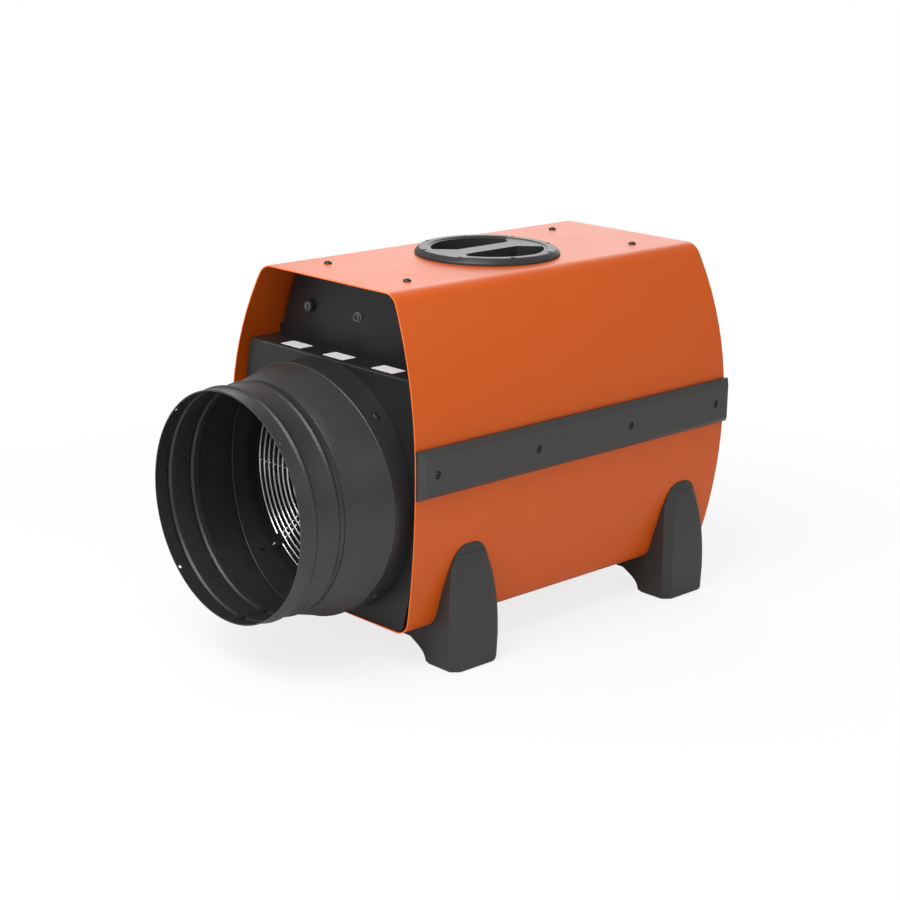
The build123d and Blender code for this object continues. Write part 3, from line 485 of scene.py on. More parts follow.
def straight_wire(bm, start, end, thickness, segments=10):
    """A straight round wire between two points, with its ends closed."""
    run = end - start
    turn = run.to_track_quat("Z", "Y").to_matrix().to_4x4()
    place = Matrix.Translation((start + end) / 2) @ turn
    radius = thickness / 2
    bmesh.ops.create_cone(
        bm, cap_ends=True, segments=segments, radius1=radius, radius2=radius, depth=run.length, matrix=place
    )


def around(angle, radius, y):
    """A point at an angle from straight up about the air axis, turning towards +X."""
    turn = math.radians(angle)
    return Vector((radius * math.sin(turn), y, AIR_Z + radius * math.cos(turn)))


def screw(bm, seat, out, kind, length):
    """A pan head screw: domed head with a round driver recess, and its shank."""
    head, rise, shank = kind
    recess = head * RECESS_SHARE
    lines = [(0, rise - head * (RECESS_DEPTH + 0.05)), (recess, rise - head * RECESS_DEPTH)]
    lines += [(recess, rise - 0.1 * MM), (recess + 0.15 * MM, rise)]
    lines += [(head * across, rise * up) for across, up in DOME]
    lines += [(shank, 0), (shank, -length), (0, -length)]
    made = bmesh.new()
    revolve(made, [(radius, 0, height) for radius, height in lines], 20, False, (0, 0, 0), (0, 0, 1))
    turn = out.to_track_quat("Z", "Y").to_matrix().to_4x4()
    bmesh.ops.transform(made, matrix=Matrix.Translation(seat) @ turn, verts=made.verts)
    holder = bpy.data.meshes.new("screw_holder")
    made.to_mesh(holder)
    made.free()
    bm.from_mesh(holder)
    bpy.data.meshes.remove(holder)


def baked(thing):
    """Fixes an object's modifiers into its mesh."""
    graph = bpy.context.evaluated_depsgraph_get()
    mesh = bpy.data.meshes.new_from_object(thing.evaluated_get(graph))
    old = thing.data
    thing.modifiers.clear()
    thing.data = mesh
    bpy.data.meshes.remove(old)


def cut_by(thing, cutters, sharp=32.0):
    """Cuts an object by cutters, each a bmesh of one closed form, and fixes the result."""
    helpers = []
    for number, bm in enumerate(cutters):
        bmesh.ops.recalc_face_normals(bm, faces=bm.faces)
        mesh = bpy.data.meshes.new("cutter")
        bm.to_mesh(mesh)
        bm.free()
        helper = bpy.data.objects.new("cutter_%d" % number, mesh)
        bpy.context.scene.collection.objects.link(helper)
        helpers.append(helper)
        cut = thing.modifiers.new("cut_%d" % number, "BOOLEAN")
        cut.operation = "DIFFERENCE"
        cut.solver = "EXACT"
        cut.object = helper
    baked(thing)
    for helper in helpers:
        mesh = helper.data
        bpy.data.objects.remove(helper)
        bpy.data.meshes.remove(mesh)
    thing.data.shade_smooth()
    thing.data.set_sharp_from_angle(angle=math.radians(sharp))


def rod(start, end, radius, sides=24):
    """A closed round cutter between two points."""
    bm = bmesh.new()
    straight_wire(bm, start, end, 2 * radius, sides)
    return bm


def solid_centres(node):
    """The middle of each separate solid of a CAD node, as (lowest, highest) corners."""
    bm = bmesh.new()
    bm.from_mesh(NODES[node].data)
    bmesh.ops.remove_doubles(bm, verts=bm.verts, dist=MERGE)
    boxes = []
    left = set(bm.verts)
    while left:
        start = left.pop()
        group = {start}
        edge_of = [start]
        while edge_of:
            vert = edge_of.pop()
            for edge in vert.link_edges:
                other = edge.other_vert(vert)
                if other in left:
                    left.remove(other)
                    group.add(other)
                    edge_of.append(other)
        low = Vector([min(v.co[i] for v in group) for i in range(3)])
        high = Vector([max(v.co[i] for v in group) for i in range(3)])
        boxes.append((low, high))
    bm.free()
    return boxes


class HeaterOperator(bpy.types.Operator):
    """Shared settings of the operators that build the heater."""

    bl_options = {"REGISTER", "UNDO"}


class HEATER_OT_casing(HeaterOperator):
    """Build the orange casing: one wrapped sheet with rounded corners and bowed end edges"""

    bl_idname = "heater.casing"
    bl_label = "Casing"

    widest_from = 207.7 * MM
    widest_to = 217.0 * MM
    upper_radius = 461.0 * MM
    lower_radius = 775.0 * MM
    handle_hole = 80.3 * MM
    arc_steps = 10
    corner_steps = 12
    hole_reach = 20.0 * MM

    def side_points(self):
        """Right half of the section from the underside to the top: x and height over the underside."""
        half = CASING_HIGH.x
        points = []
        for step in range(self.arc_steps + 1):
            height = self.widest_from * step / self.arc_steps
            drop = self.widest_from - height
            points.append((half - arc_in(self.lower_radius, drop), height))
        for step in range(self.arc_steps + 1):
            rise = (CASING_HIGH.z - CASING_LOW.z - self.widest_to) * step / self.arc_steps
            points.append((half - arc_in(self.upper_radius, rise), self.widest_to + rise))
        return points

    def round_corners(self, bm, height, radius):
        """Rounds the two long corners at a height."""
        corners = [
            edge for edge in bm.edges
            if all(abs(vert.co.z - CASING_LOW.z - height) < 0.01 * MM for vert in edge.verts)
            and abs(edge.verts[0].co.y - edge.verts[1].co.y) > 0.1
        ]
        turn = corners[0].calc_face_angle()
        bevelled(bm, corners, radius * math.tan(turn / 2), self.corner_steps)

    def execute(self, context):
        right = self.side_points()
        outline = right + [(-x, height) for x, height in right[::-1]]
        bm = bmesh.new()
        verts = [bm.verts.new((x, CASING_LOW.y, CASING_LOW.z + height)) for x, height in outline]
        edges = [bm.edges.new(pair) for pair in zip(verts, verts[1:] + verts[:1])]
        made = bmesh.ops.extrude_edge_only(bm, edges=edges)["geom"]
        rear = [item for item in made if isinstance(item, bmesh.types.BMVert)]
        bmesh.ops.translate(bm, vec=(0, CASING_HIGH.y - CASING_LOW.y, 0), verts=rear)
        self.round_corners(bm, 0.0, sizes().bottom_corner)
        self.round_corners(bm, CASING_HIGH.z - CASING_LOW.z, sizes().top_corner)
        half_height = (CASING_HIGH.z - CASING_LOW.z) / 2
        for vert in bm.verts:
            off = vert.co.z - CASING_LOW.z - half_height
            bow = FRONT_BOW if vert.co.y < 0 else REAR_BOW
            bow_radius = (half_height ** 2 + bow ** 2) / (2 * bow)
            depth = arc_in(bow_radius, off)
            vert.co.y += depth if vert.co.y < 0 else -depth
        bmesh.ops.recalc_face_normals(bm, faces=bm.faces)
        top = max(bm.faces, key=lambda face: face.calc_center_median().z)
        if top.normal.z < 0:
            bmesh.ops.reverse_faces(bm, faces=bm.faces)
        # The sheet's rim faces take the lighter orange copy of the coat: a painted highlight along the cut
        # edges.
        coats = [orange_powder_coat(), orange_edge_highlight()]
        sleeve = piece("casing_sleeve", bm, coats, "heater", ("casing",))
        wall = sleeve.modifiers.new("sheet", "SOLIDIFY")
        wall.thickness = sizes().casing_sheet
        wall.offset = -1.0
        wall.use_even_offset = True
        wall.material_offset_rim = 1
        baked(sleeve)
        low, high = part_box("top_handle")
        middle = Vector((0, (low.y + high.y) / 2, CASING_HIGH.z))
        reach = Vector((0, 0, self.hole_reach))
        cut_by(sleeve, [rod(middle - reach, middle + reach, self.handle_hole, 64)])
        evened(sleeve)
        return {"FINISHED"}


class HEATER_OT_sheets(HeaterOperator):
    """Build the bent black covers and the control panel with rounded bends"""

    bl_idname = "heater.sheets"
    bl_label = "Covers"

    bend_radius = 1.6 * MM
    bend_from = -135.0 * MM
    bend_to = 153.0 * MM
    bend_proud = 0.1 * MM
    clip_edge = 0.25 * MM
    tuck = 0.5 * MM

    def tucked(self, cover):
        """Draws a cover's top corners in, so that they stay inside the bend of the casing's corners."""
        casing = HEATER_OT_casing
        rise = CASING_HIGH.z - CASING_LOW.z - casing.widest_to
        lean = math.asin(rise / casing.upper_radius)
        corner = CASING_HIGH.x - arc_in(casing.upper_radius, rise)
        radius = sizes().top_corner
        centre_x = corner + radius * (math.tan(lean) - 1 / math.cos(lean))
        centre_z = CASING_HIGH.z - radius
        reach = radius - sizes().casing_sheet - self.tuck
        for vert in cover.data.vertices:
            across = abs(vert.co.x) - centre_x
            up = vert.co.z - centre_z
            far = math.hypot(across, up)
            if across > 0 and up > 0 and far > reach:
                vert.co.x = math.copysign(centre_x + across * reach / far, vert.co.x)
                vert.co.z = centre_z + up * reach / far

    def execute(self, context):
        for node in ("front_cover", "control_panel", "rear_cover"):
            self.tucked(softened(node, sizes().sheet_edge, [black_powder_coat()]))
        for node in ("guard_clips", "intake_clips"):
            softened(node, self.clip_edge, [black_powder_coat()])
        cover = NODES["front_cover"].data.vertices
        edge_y = min(vert.co.y for vert in cover if vert.co.z > LEDGE_Z - self.tuck)
        bend = bmesh.new()
        inset = self.bend_radius - self.bend_proud
        left = Vector((self.bend_from, edge_y + inset, LEDGE_Z - inset))
        right = Vector((self.bend_to, edge_y + inset, LEDGE_Z - inset))
        straight_wire(bend, left, right, 2 * self.bend_radius, 24)
        # A rounded rod along the ledge's front bend, in a lighter grey copy of the black coat: a painted
        # highlight line.
        piece("front_cover_bend", bend, [bend_highlight_coat()], "heater")
        return {"FINISHED"}


class HEATER_OT_adapter(HeaterOperator):
    """Build the hose adapter: rolled beads, lapped cone with its bowed ridge, collar and seam"""

    bl_idname = "heater.adapter"
    bl_label = "Hose adapter"

    beads = (142.7 * MM, 107.5 * MM)
    cone_start = 96.0 * MM
    ridge = 36.0 * MM
    ridge_at_sides = 28.8 * MM
    ridge_bow = 14.5 * MM
    ridge_bead = [
        (-1.5 * MM, 0.0), (-0.8 * MM, 0.55 * MM), (0.0, 0.8 * MM), (0.8 * MM, 0.55 * MM), (1.5 * MM, 0.0)
    ]
    cone_steps = (0.25, 0.5, 0.75, 0.97)
    lap = 1.0 * MM
    edge_round = 0.3 * MM
    lip_flat = 6.0 * MM
    lip_hole = 2.3 * MM
    lip_hole_setback = 4.6 * MM
    hole_reach = 10.0 * MM
    seam_width = 10.0 * MM
    seam_height = 0.8 * MM
    seam_gap = 2.0 * MM
    seam_edge = 0.2 * MM

    def bead_line(self, bead):
        """A rolled bead: the crest's setback from the casing's front, as points along the spigot."""
        line = []
        for step in range(-6, 7):
            part = step / 6
            rise = sizes().bead_height * math.cos(part * math.pi / 2) ** 2
            line.append((FRONT - bead + part * sizes().bead_width / 2, sizes().spigot_radius + rise))
        return line

    def outer_line(self):
        """The outside from the lip to the casing: y and radius."""
        radius = sizes().spigot_radius
        start = FRONT - self.cone_start
        ridge = FRONT - self.ridge
        line = [(LIP_Y, radius - 0.5 * MM), (LIP_Y + 0.25 * MM, radius), (LIP_Y + self.lip_flat, radius)]
        for bead in self.beads:
            line += self.bead_line(bead)
        lap = radius + self.lap
        line += [(start, radius), (start, lap - 0.2 * MM), (start + self.edge_round, lap)]
        for step in self.cone_steps:
            line.append((start + step * (ridge - start), lap + (COLLAR_RADIUS - lap) * step))
        line += [(ridge + along, COLLAR_RADIUS + rise) for along, rise in self.ridge_bead]
        line.append((FRONT - self.ridge * 0.5, COLLAR_RADIUS))
        line.append((ADAPTER_HIGH.y - self.edge_round, COLLAR_RADIUS))
        line.append((ADAPTER_HIGH.y, COLLAR_RADIUS - self.edge_round))
        return line

    def bow(self, bm):
        """Bows the ridge between cone and collar: it lies further forward at the top and the bottom."""
        start = FRONT - self.cone_start
        flat = FRONT - self.ridge
        end = ADAPTER_HIGH.y
        for vert in bm.verts:
            if vert.co.y <= start + 0.5 * MM:
                continue
            up = vert.co.z - AIR_Z
            share = up * up / (up * up + vert.co.x * vert.co.x)
            ridge = FRONT - self.ridge_at_sides - self.ridge_bow * share
            if vert.co.y <= flat:
                vert.co.y = start + (vert.co.y - start) * (ridge - start) / (flat - start)
            else:
                vert.co.y = end - (end - vert.co.y) * (end - ridge) / (end - flat)

    def execute(self, context):
        outer = self.outer_line()
        inner = [(y, radius - sizes().adapter_sheet) for y, radius in outer]
        line = [(0, y, AIR_Z + radius) for y, radius in outer + inner[::-1]]
        bm = bmesh.new()
        revolve(bm, line, 180, True, (0, 0, AIR_Z))
        self.bow(bm)
        seam = bmesh.new()
        inside = sizes().spigot_radius - sizes().adapter_sheet
        start = FRONT - self.cone_start
        size = (self.seam_width, start - LIP_Y - 2 * self.seam_gap, self.seam_height)
        block(seam, size, (0, (LIP_Y + start) / 2, AIR_Z - inside + 0.5 * MM))
        bevelled(seam, seam.edges[:], self.seam_edge, 2)
        coats = [structured_black_coat()]
        shell = piece("hose_adapter_shell", bm, coats, "heater", ("hose_adapter",))
        hole_y = LIP_Y + self.lip_hole_setback
        near = sizes().spigot_radius - self.hole_reach
        far = sizes().spigot_radius + self.hole_reach
        cut_by(shell, [
            rod(around(angle, near, hole_y), around(angle, far, hole_y), self.lip_hole) for angle in DIAGONALS
        ], 24.0)
        piece("hose_adapter_seam", seam, [structured_black_coat()], "heater")
        return {"FINISHED"}


class HEATER_OT_guards(HeaterOperator):
    """Build the wire guards: concentric rings welded to spokes in front, upright bars at the rear"""

    bl_idname = "heater.guards"
    bl_label = "Wire guards"

    rings = 13
    intake_pitch = 14.0 * MM
    weld_share = 0.85
    bar_share = 0.9
    spoke_inset = 0.2 * MM

    def execute(self, context):
        wire = sizes().wire
        radius = sizes().guard_radius
        start = sizes().spoke_start
        ring_y = GUARD_LOW.y + wire / 2
        spoke_y = ring_y + wire * self.weld_share
        bm = bmesh.new()
        for ring in range(self.rings):
            wire_circle(bm, radius - ring * sizes().ring_pitch, ring_y, wire)
        for angle in (0, 90, 180, 270):
            straight_wire(bm, around(angle, start, spoke_y), around(angle, radius, spoke_y), wire)
        for angle in DIAGONALS:
            aside = around(angle + 90, sizes().spoke_spread / 2, 0) - Vector((0, 0, AIR_Z))
            inner = around(angle, start, spoke_y)
            outer = around(angle, radius - self.spoke_inset, spoke_y)
            for side in (-1, 1):
                straight_wire(bm, inner + side * aside, outer + side * aside, wire)
        piece("outlet_guard_wires", bm, [bright_wire()], "heater", ("outlet_guard",))
        bm = bmesh.new()
        back_y = INTAKE_Y + wire / 2
        wire_circle(bm, radius, back_y, wire)
        count = int(radius / self.intake_pitch)
        for bar in range(-count, count + 1):
            across = bar * self.intake_pitch
            half = math.sqrt(radius * radius - across * across)
            foot = Vector((across, back_y, AIR_Z - half))
            straight_wire(bm, foot, foot + Vector((0, 0, 2 * half)), wire * self.bar_share)
        piece("intake_guard_wires", bm, [bright_wire()], "heater", ("intake_guard",))
        return {"FINISHED"}


class HEATER_OT_rails(HeaterOperator):
    """Build the bevelled side rails with rounded edges"""

    bl_idname = "heater.rails"
    bl_label = "Side rails"

    def execute(self, context):
        for node in ("rail_left", "rail_right"):
            softened(node, sizes().moulded_edge, [rail_plastic()])
        return {"FINISHED"}


class HEATER_OT_feet(HeaterOperator):
    """Build the four moulded feet: tall arches that lean against the casing, with a web below it"""

    bl_idname = "heater.feet"
    bl_label = "Feet"

    face = 197.0 * MM
    lean_from = -10.0 * MM
    lean_radius = 540.0 * MM
    arch_from = -20.0 * MM
    toe = 149.5 * MM
    flare = (143.0 * MM, -49.0 * MM)
    web_end = (114.0 * MM, -22.0 * MM)
    web_inner = 101.0 * MM
    web_bulge = 7.7 * MM
    part_line = -19.0 * MM
    part_ridge = 0.16 * MM
    bottom_round = 4.5 * MM
    arch_half = 44.0 * MM
    arch_power = 2.1
    arch_fullness = 0.32
    face_peak = 102.0 * MM
    face_margin = 10.8 * MM
    corner_round = 1.8 * MM
    peak_proud = 1.2 * MM
    bend_share = 0.9
    bevel_share = 0.7
    least_half = 1.0 * MM
    least_front = 0.4 * MM
    least_thickness = 0.6 * MM
    top_cut = 0.3 * MM
    gap = 0.3 * MM
    screw_side = 122.0 * MM
    screw_recess = 5.3 * MM
    screw_seat = -12.0 * MM
    screw_shift = 25.0 * MM
    recess_depth = 20.0 * MM

    def casing_x(self, height):
        """Half width of the casing at a height over its underside, with its bottom corner's bend."""
        casing = HEATER_OT_casing
        half = CASING_HIGH.x
        side = half - arc_in(casing.lower_radius, casing.widest_from - height)
        radius = sizes().bottom_corner
        if height >= radius:
            return side
        return side - self.bend_share * arc_in(radius, radius - height)

    def inner_x(self, height):
        """Where the foot begins at a height: the arch below its web, the web, or the casing's side."""
        if height > 0:
            return self.casing_x(height) + self.gap
        if height > self.web_end[1]:
            return self.web_inner
        flare_x, flare_z = self.flare
        end_x, end_z = self.web_end
        if height < flare_z:
            share = (height + CASING_LOW.z) / (flare_z + CASING_LOW.z)
            return self.toe + (flare_x - self.toe) * share
        share = (height - flare_z) / (end_z - flare_z)
        return flare_x + (end_x - flare_x) * share + self.web_bulge * math.sin(math.pi * share)

    def peak(self):
        return sizes().foot_height - CASING_LOW.z

    def face_x(self, height):
        """The face: upright, then leaning in towards the casing, then the bevel over the arch's top."""
        if height < self.lean_from:
            return self.face
        rise = min(height, self.face_peak) - self.lean_from
        leaning = self.face - arc_in(self.lean_radius, rise)
        if height <= self.face_peak:
            return leaning
        share = (height - self.face_peak) / (self.peak() - self.face_peak)
        return leaning + (self.casing_x(self.peak()) + self.peak_proud - leaning) * share

    def arched(self, height, half, peak):
        """Half length at a height of an arch with a full, blunt top."""
        share = min(1.0, max(0.0, (height - self.arch_from) / (peak - self.arch_from)))
        return half * (1 - share ** self.arch_power) ** self.arch_fullness

    def half_length(self, height):
        """Half length of the whole foot, a little longer where it meets the casing."""
        base = sizes().foot_length / 2
        if height < self.arch_from:
            share = (height + CASING_LOW.z) / (self.arch_from + CASING_LOW.z)
            return base + (self.arch_half - base) * share
        return self.arched(height, self.arch_half, self.peak())

    def face_half(self, height):
        """Half length of the face inside its bevel."""
        if height < self.arch_from:
            return self.half_length(height) - self.face_margin
        return self.arched(height, self.arch_half - self.face_margin, self.face_peak)

    def levels(self):
        """Heights over the casing's underside, each with how far the section there is drawn in."""
        floor = -CASING_LOW.z
        soft = self.bottom_round
        line = self.part_line
        web = self.web_end[1]
        rows = [(floor, soft), (floor + 0.12 * soft, 0.55 * soft), (floor + 0.4 * soft, 0.2 * soft)]
        rows += [(floor + soft, 0.0)]
        rows += [(height, 0.0) for height in spaced(floor + soft, web, 8, 1)]
        rows += [(web + 0.01 * MM, 0.0)]
        rows += [(line - 0.8 * MM, 0.0), (line, -self.part_ridge), (line + 0.8 * MM, 0.0)]
        rows += [(height, 0.0) for height in spaced(line + 0.8 * MM, -0.3 * MM, 3, 1)]
        rows += [(0.01 * MM, 0.0)]
        bend = [sizes().bottom_corner * (step / 6) ** 1.6 for step in range(1, 7)]
        rows += [(height, 0.0) for height in bend]
        rows += [(height, 0.0) for height in spaced(bend[-1], self.face_peak, 16, 2)]
        rows += [(height, 0.0) for height in spaced(self.face_peak, self.peak() - self.top_cut, 7, 2)]
        return rows

    def loop_at(self, height, inset):
        """The foot's level section: inner side, bevelled outer corners and face."""
        half = max(self.half_length(height) - inset, self.least_half)
        front = max(self.face_half(height) - inset, self.least_front)
        outer = self.face_x(height) - inset
        inner = min(self.inner_x(height) + inset, outer - self.least_thickness)
        across = min(sizes().foot_bevel, (outer - inner) * self.bevel_share)
        corners = [(inner, -half), (outer - across, -half), (outer, -front)]
        corners += [(outer, front), (outer - across, half), (inner, half)]
        points = [corners[0]]
        for before, corner, after in zip(corners, corners[1:], corners[2:]):
            points += self.rounded(Vector(before), Vector(corner), Vector(after))
        return points + [corners[-1]]

    def rounded(self, before, corner, after):
        """Three points that round a corner of the section."""
        reach = min(self.corner_round, 0.45 * (before - corner).length, 0.45 * (after - corner).length)
        start = corner + (before - corner).normalized() * reach
        end = corner + (after - corner).normalized() * reach
        return [tuple(start), tuple(start / 4 + corner / 2 + end / 4), tuple(end)]

    def build(self, name, side, centre):
        """One foot, built up level by level, with its two screw recesses."""
        bm = bmesh.new()

        def placed(height, inset):
            return [(side * x, centre + y, CASING_LOW.z + height) for x, y in self.loop_at(height, inset)]

        rows = self.levels()
        ring = [bm.verts.new(place) for place in placed(*rows[0])]
        bm.faces.new(ring)
        for row in rows[1:]:
            upper = [bm.verts.new(place) for place in placed(*row)]
            for number in range(len(ring)):
                after = (number + 1) % len(ring)
                bm.faces.new((ring[number], ring[after], upper[after], upper[number]))
            ring = upper
        bm.faces.new(ring)
        bmesh.ops.recalc_face_normals(bm, faces=bm.faces)
        foot = piece(name + "_moulding", bm, [foot_plastic()], "heater", (name,), 26.0)
        recesses = []
        for shift in (-self.screw_shift, self.screw_shift):
            seat = Vector((side * self.screw_side, centre + shift, CASING_LOW.z + self.screw_seat))
            recesses.append(rod(seat - Vector((0, 0, self.recess_depth)), seat, self.screw_recess, 20))
        cut_by(foot, recesses, 26.0)
        evened(foot)

    def execute(self, context):
        for name in ("foot_front_left", "foot_front_right", "foot_rear_left", "foot_rear_right"):
            low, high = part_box(name)
            side = 1 if high.x > 0 else -1
            self.build(name, side, (low.y + high.y) / 2)
        return {"FINISHED"}


class HEATER_OT_handle(HeaterOperator):
    """Build the round top handle: a ring in two ramps, two finger pockets and the bar between them"""

    bl_idname = "heater.handle"
    bl_label = "Top handle"

    pocket = 77.0 * MM
    bar = 15.5 * MM
    bar_bend = 41.0 * MM
    flare_end = (39.0 * MM, 66.4 * MM)
    short_end = (16.5 * MM, -56.0 * MM)
    cut_end = (35.0 * MM, -68.6 * MM)
    floor = -35.5 * MM
    dish = 7.5 * MM
    bar_thickness = 20.0 * MM
    step_angle = 154.0
    ramp = 1.1 * MM
    ramp_from = 81.0 * MM
    ramp_over = 5.5 * MM
    ramp_middle = 0.35
    clear = 10.0 * MM
    hollow_width = 40.0 * MM
    screw_circle = 90.5 * MM
    screw_recess = 3.9 * MM
    screw_seat = 6.8 * MM
    screw_count = 8

    def pocket_cutter(self, side, centre, top):
        """A finger pocket: a half moon, flared at one end of the bar and cut short at the other."""
        start = math.atan2(self.flare_end[1], self.flare_end[0])
        end = math.atan2(self.cut_end[1], self.cut_end[0])
        points = [self.short_end, (self.bar, -self.bar_bend), (self.bar, self.bar_bend)]
        for step in range(33):
            angle = start + (end - start) * step / 32
            points.append((self.pocket * math.cos(angle), self.pocket * math.sin(angle)))
        bm = bmesh.new()
        verts = [bm.verts.new((side * x, centre + side * y, top + self.floor)) for x, y in points]
        base = bm.faces.new(verts)
        made = bmesh.ops.extrude_face_region(bm, geom=[base])["geom"]
        raised = [item for item in made if isinstance(item, bmesh.types.BMVert)]
        bmesh.ops.translate(bm, vec=(0, 0, self.dish - self.floor + self.clear), verts=raised)
        return bm

    def hollow_under_bar(self, centre, top):
        """The space for fingers below the bar."""
        bm = bmesh.new()
        height = self.dish - self.bar_thickness - self.floor
        size = (self.hollow_width, 2 * self.bar_bend, height)
        block(bm, size, (0, centre, top + self.floor + height / 2))
        return bm

    def outline(self):
        """Half of the section through the dish and its ring: radius and height over the casing's top."""
        lines = [(0, -38.5), (80, -38.5), (80, 0), (99, 0), (99, 2.6), (98.6, 3.8), (97.6, 5.0)]
        lines += [(94.6, 8.2), (93.4, 9.0), (92.0, 9.3), (83.2, 9.3), (82.2, 9.0), (80.6, 7.8)]
        lines += [(79.6, 7.5), (0, 7.5)]
        return [(radius * MM, height * MM) for radius, height in lines]

    def execute(self, context):
        low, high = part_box("top_handle")
        centre = (low.y + high.y) / 2
        top = CASING_HIGH.z
        bm = bmesh.new()
        points = [(radius, centre, top + height) for radius, height in self.outline()]
        revolve(bm, points, 128, False, (0, centre, 0), (0, 0, 1))
        coats = [handle_plastic()]
        handle = piece(
            "top_handle_moulding", bm, coats, "heater", ("top_handle",), 24.0
        )
        screws = []
        for number in range(self.screw_count):
            angle = math.tau * (number + 0.5) / self.screw_count
            across = self.screw_circle * math.cos(angle)
            along = centre + self.screw_circle * math.sin(angle)
            seat = Vector((across, along, top + self.screw_seat))
            screws.append(rod(seat, seat + Vector((0, 0, self.clear)), self.screw_recess, 16))
        pockets = [self.pocket_cutter(side, centre, top) for side in (1, -1)]
        cut_by(handle, pockets + [self.hollow_under_bar(centre, top)] + screws, 24.0)
        for vert in handle.data.vertices:
            x = vert.co.x
            y = vert.co.y - centre
            if math.hypot(x, y) < self.ramp_from or vert.co.z < top + self.ramp_over:
                continue
            turned = (math.degrees(math.atan2(x, y)) - self.step_angle) % 180
            vert.co.z += self.ramp * (turned / 180 - self.ramp_middle)
        rounding(handle, sizes().moulded_edge, 40)
        evened(handle)
        return {"FINISHED"}


class HEATER_OT_screws(HeaterOperator):
    """Build the screws with domed heads and driver recesses"""

    bl_idname = "heater.screws"
    bl_label = "Screws"

    top_kind = ScrewKind(head=5.5 * MM, rise=3.0 * MM, shank=2.475 * MM)
    handle_kind = ScrewKind(head=3.4 * MM, rise=2.2 * MM, shank=1.53 * MM)
    foot_kind = ScrewKind(head=5.0 * MM, rise=3.0 * MM, shank=2.25 * MM)
    rail_kind = ScrewKind(head=4.9 * MM, rise=3.4 * MM, shank=2.2 * MM)
    adapter_kind = ScrewKind(head=5.0 * MM, rise=3.0 * MM, shank=2.0 * MM)
    clip_kind = ScrewKind(head=3.0 * MM, rise=2.4 * MM, shank=1.6 * MM)
    rail_sink = 2.0 * MM
    adapter_length = 6.4 * MM

    def row(self, node, kind, material, out, sink=None):
        """Screws along an axis, each seated a little under the outer end of its CAD screw."""
        bm = bmesh.new()
        sink = kind.rise if sink is None else sink
        for low, high in solid_centres(node):
            middle = (low + high) / 2
            facing = Vector(out(middle))
            tip = max(low.dot(facing), high.dot(facing))
            tail = min(low.dot(facing), high.dot(facing))
            seat = middle + facing * (tip - sink - middle.dot(facing))
            screw(bm, seat, facing, kind, tip - sink - tail)
        piece(node + "_set", bm, [material], "heater", (node,))

    def execute(self, context):
        self.row("top_screws", self.top_kind, black_oxide(), lambda middle: (0, 0, 1))
        self.row("handle_screws", self.handle_kind, black_oxide(), lambda middle: (0, 0, 1))
        self.row("foot_screws", self.foot_kind, zinc_screw(), lambda middle: (0, 0, -1))
        self.row(
            "rail_screws", self.rail_kind, dark_zinc(), lambda middle: (math.copysign(1, middle.x), 0, 0),
            self.rail_sink,
        )
        bm = bmesh.new()
        for low, high in solid_centres("adapter_screws"):
            middle = (low + high) / 2
            out = Vector((middle.x, 0, middle.z - AIR_Z)).normalized()
            seat = Vector((0, middle.y, AIR_Z)) + out * COLLAR_RADIUS
            screw(bm, seat, out, self.adapter_kind, self.adapter_length)
        piece("adapter_screws_set", bm, [black_oxide()], "heater", ("adapter_screws",))
        self.row("guard_clip_screws", self.clip_kind, zinc_screw(), lambda middle: (0, -1, 0))
        self.row("intake_clip_screws", self.clip_kind, zinc_screw(), lambda middle: (0, 1, 0))
        return {"FINISHED"}


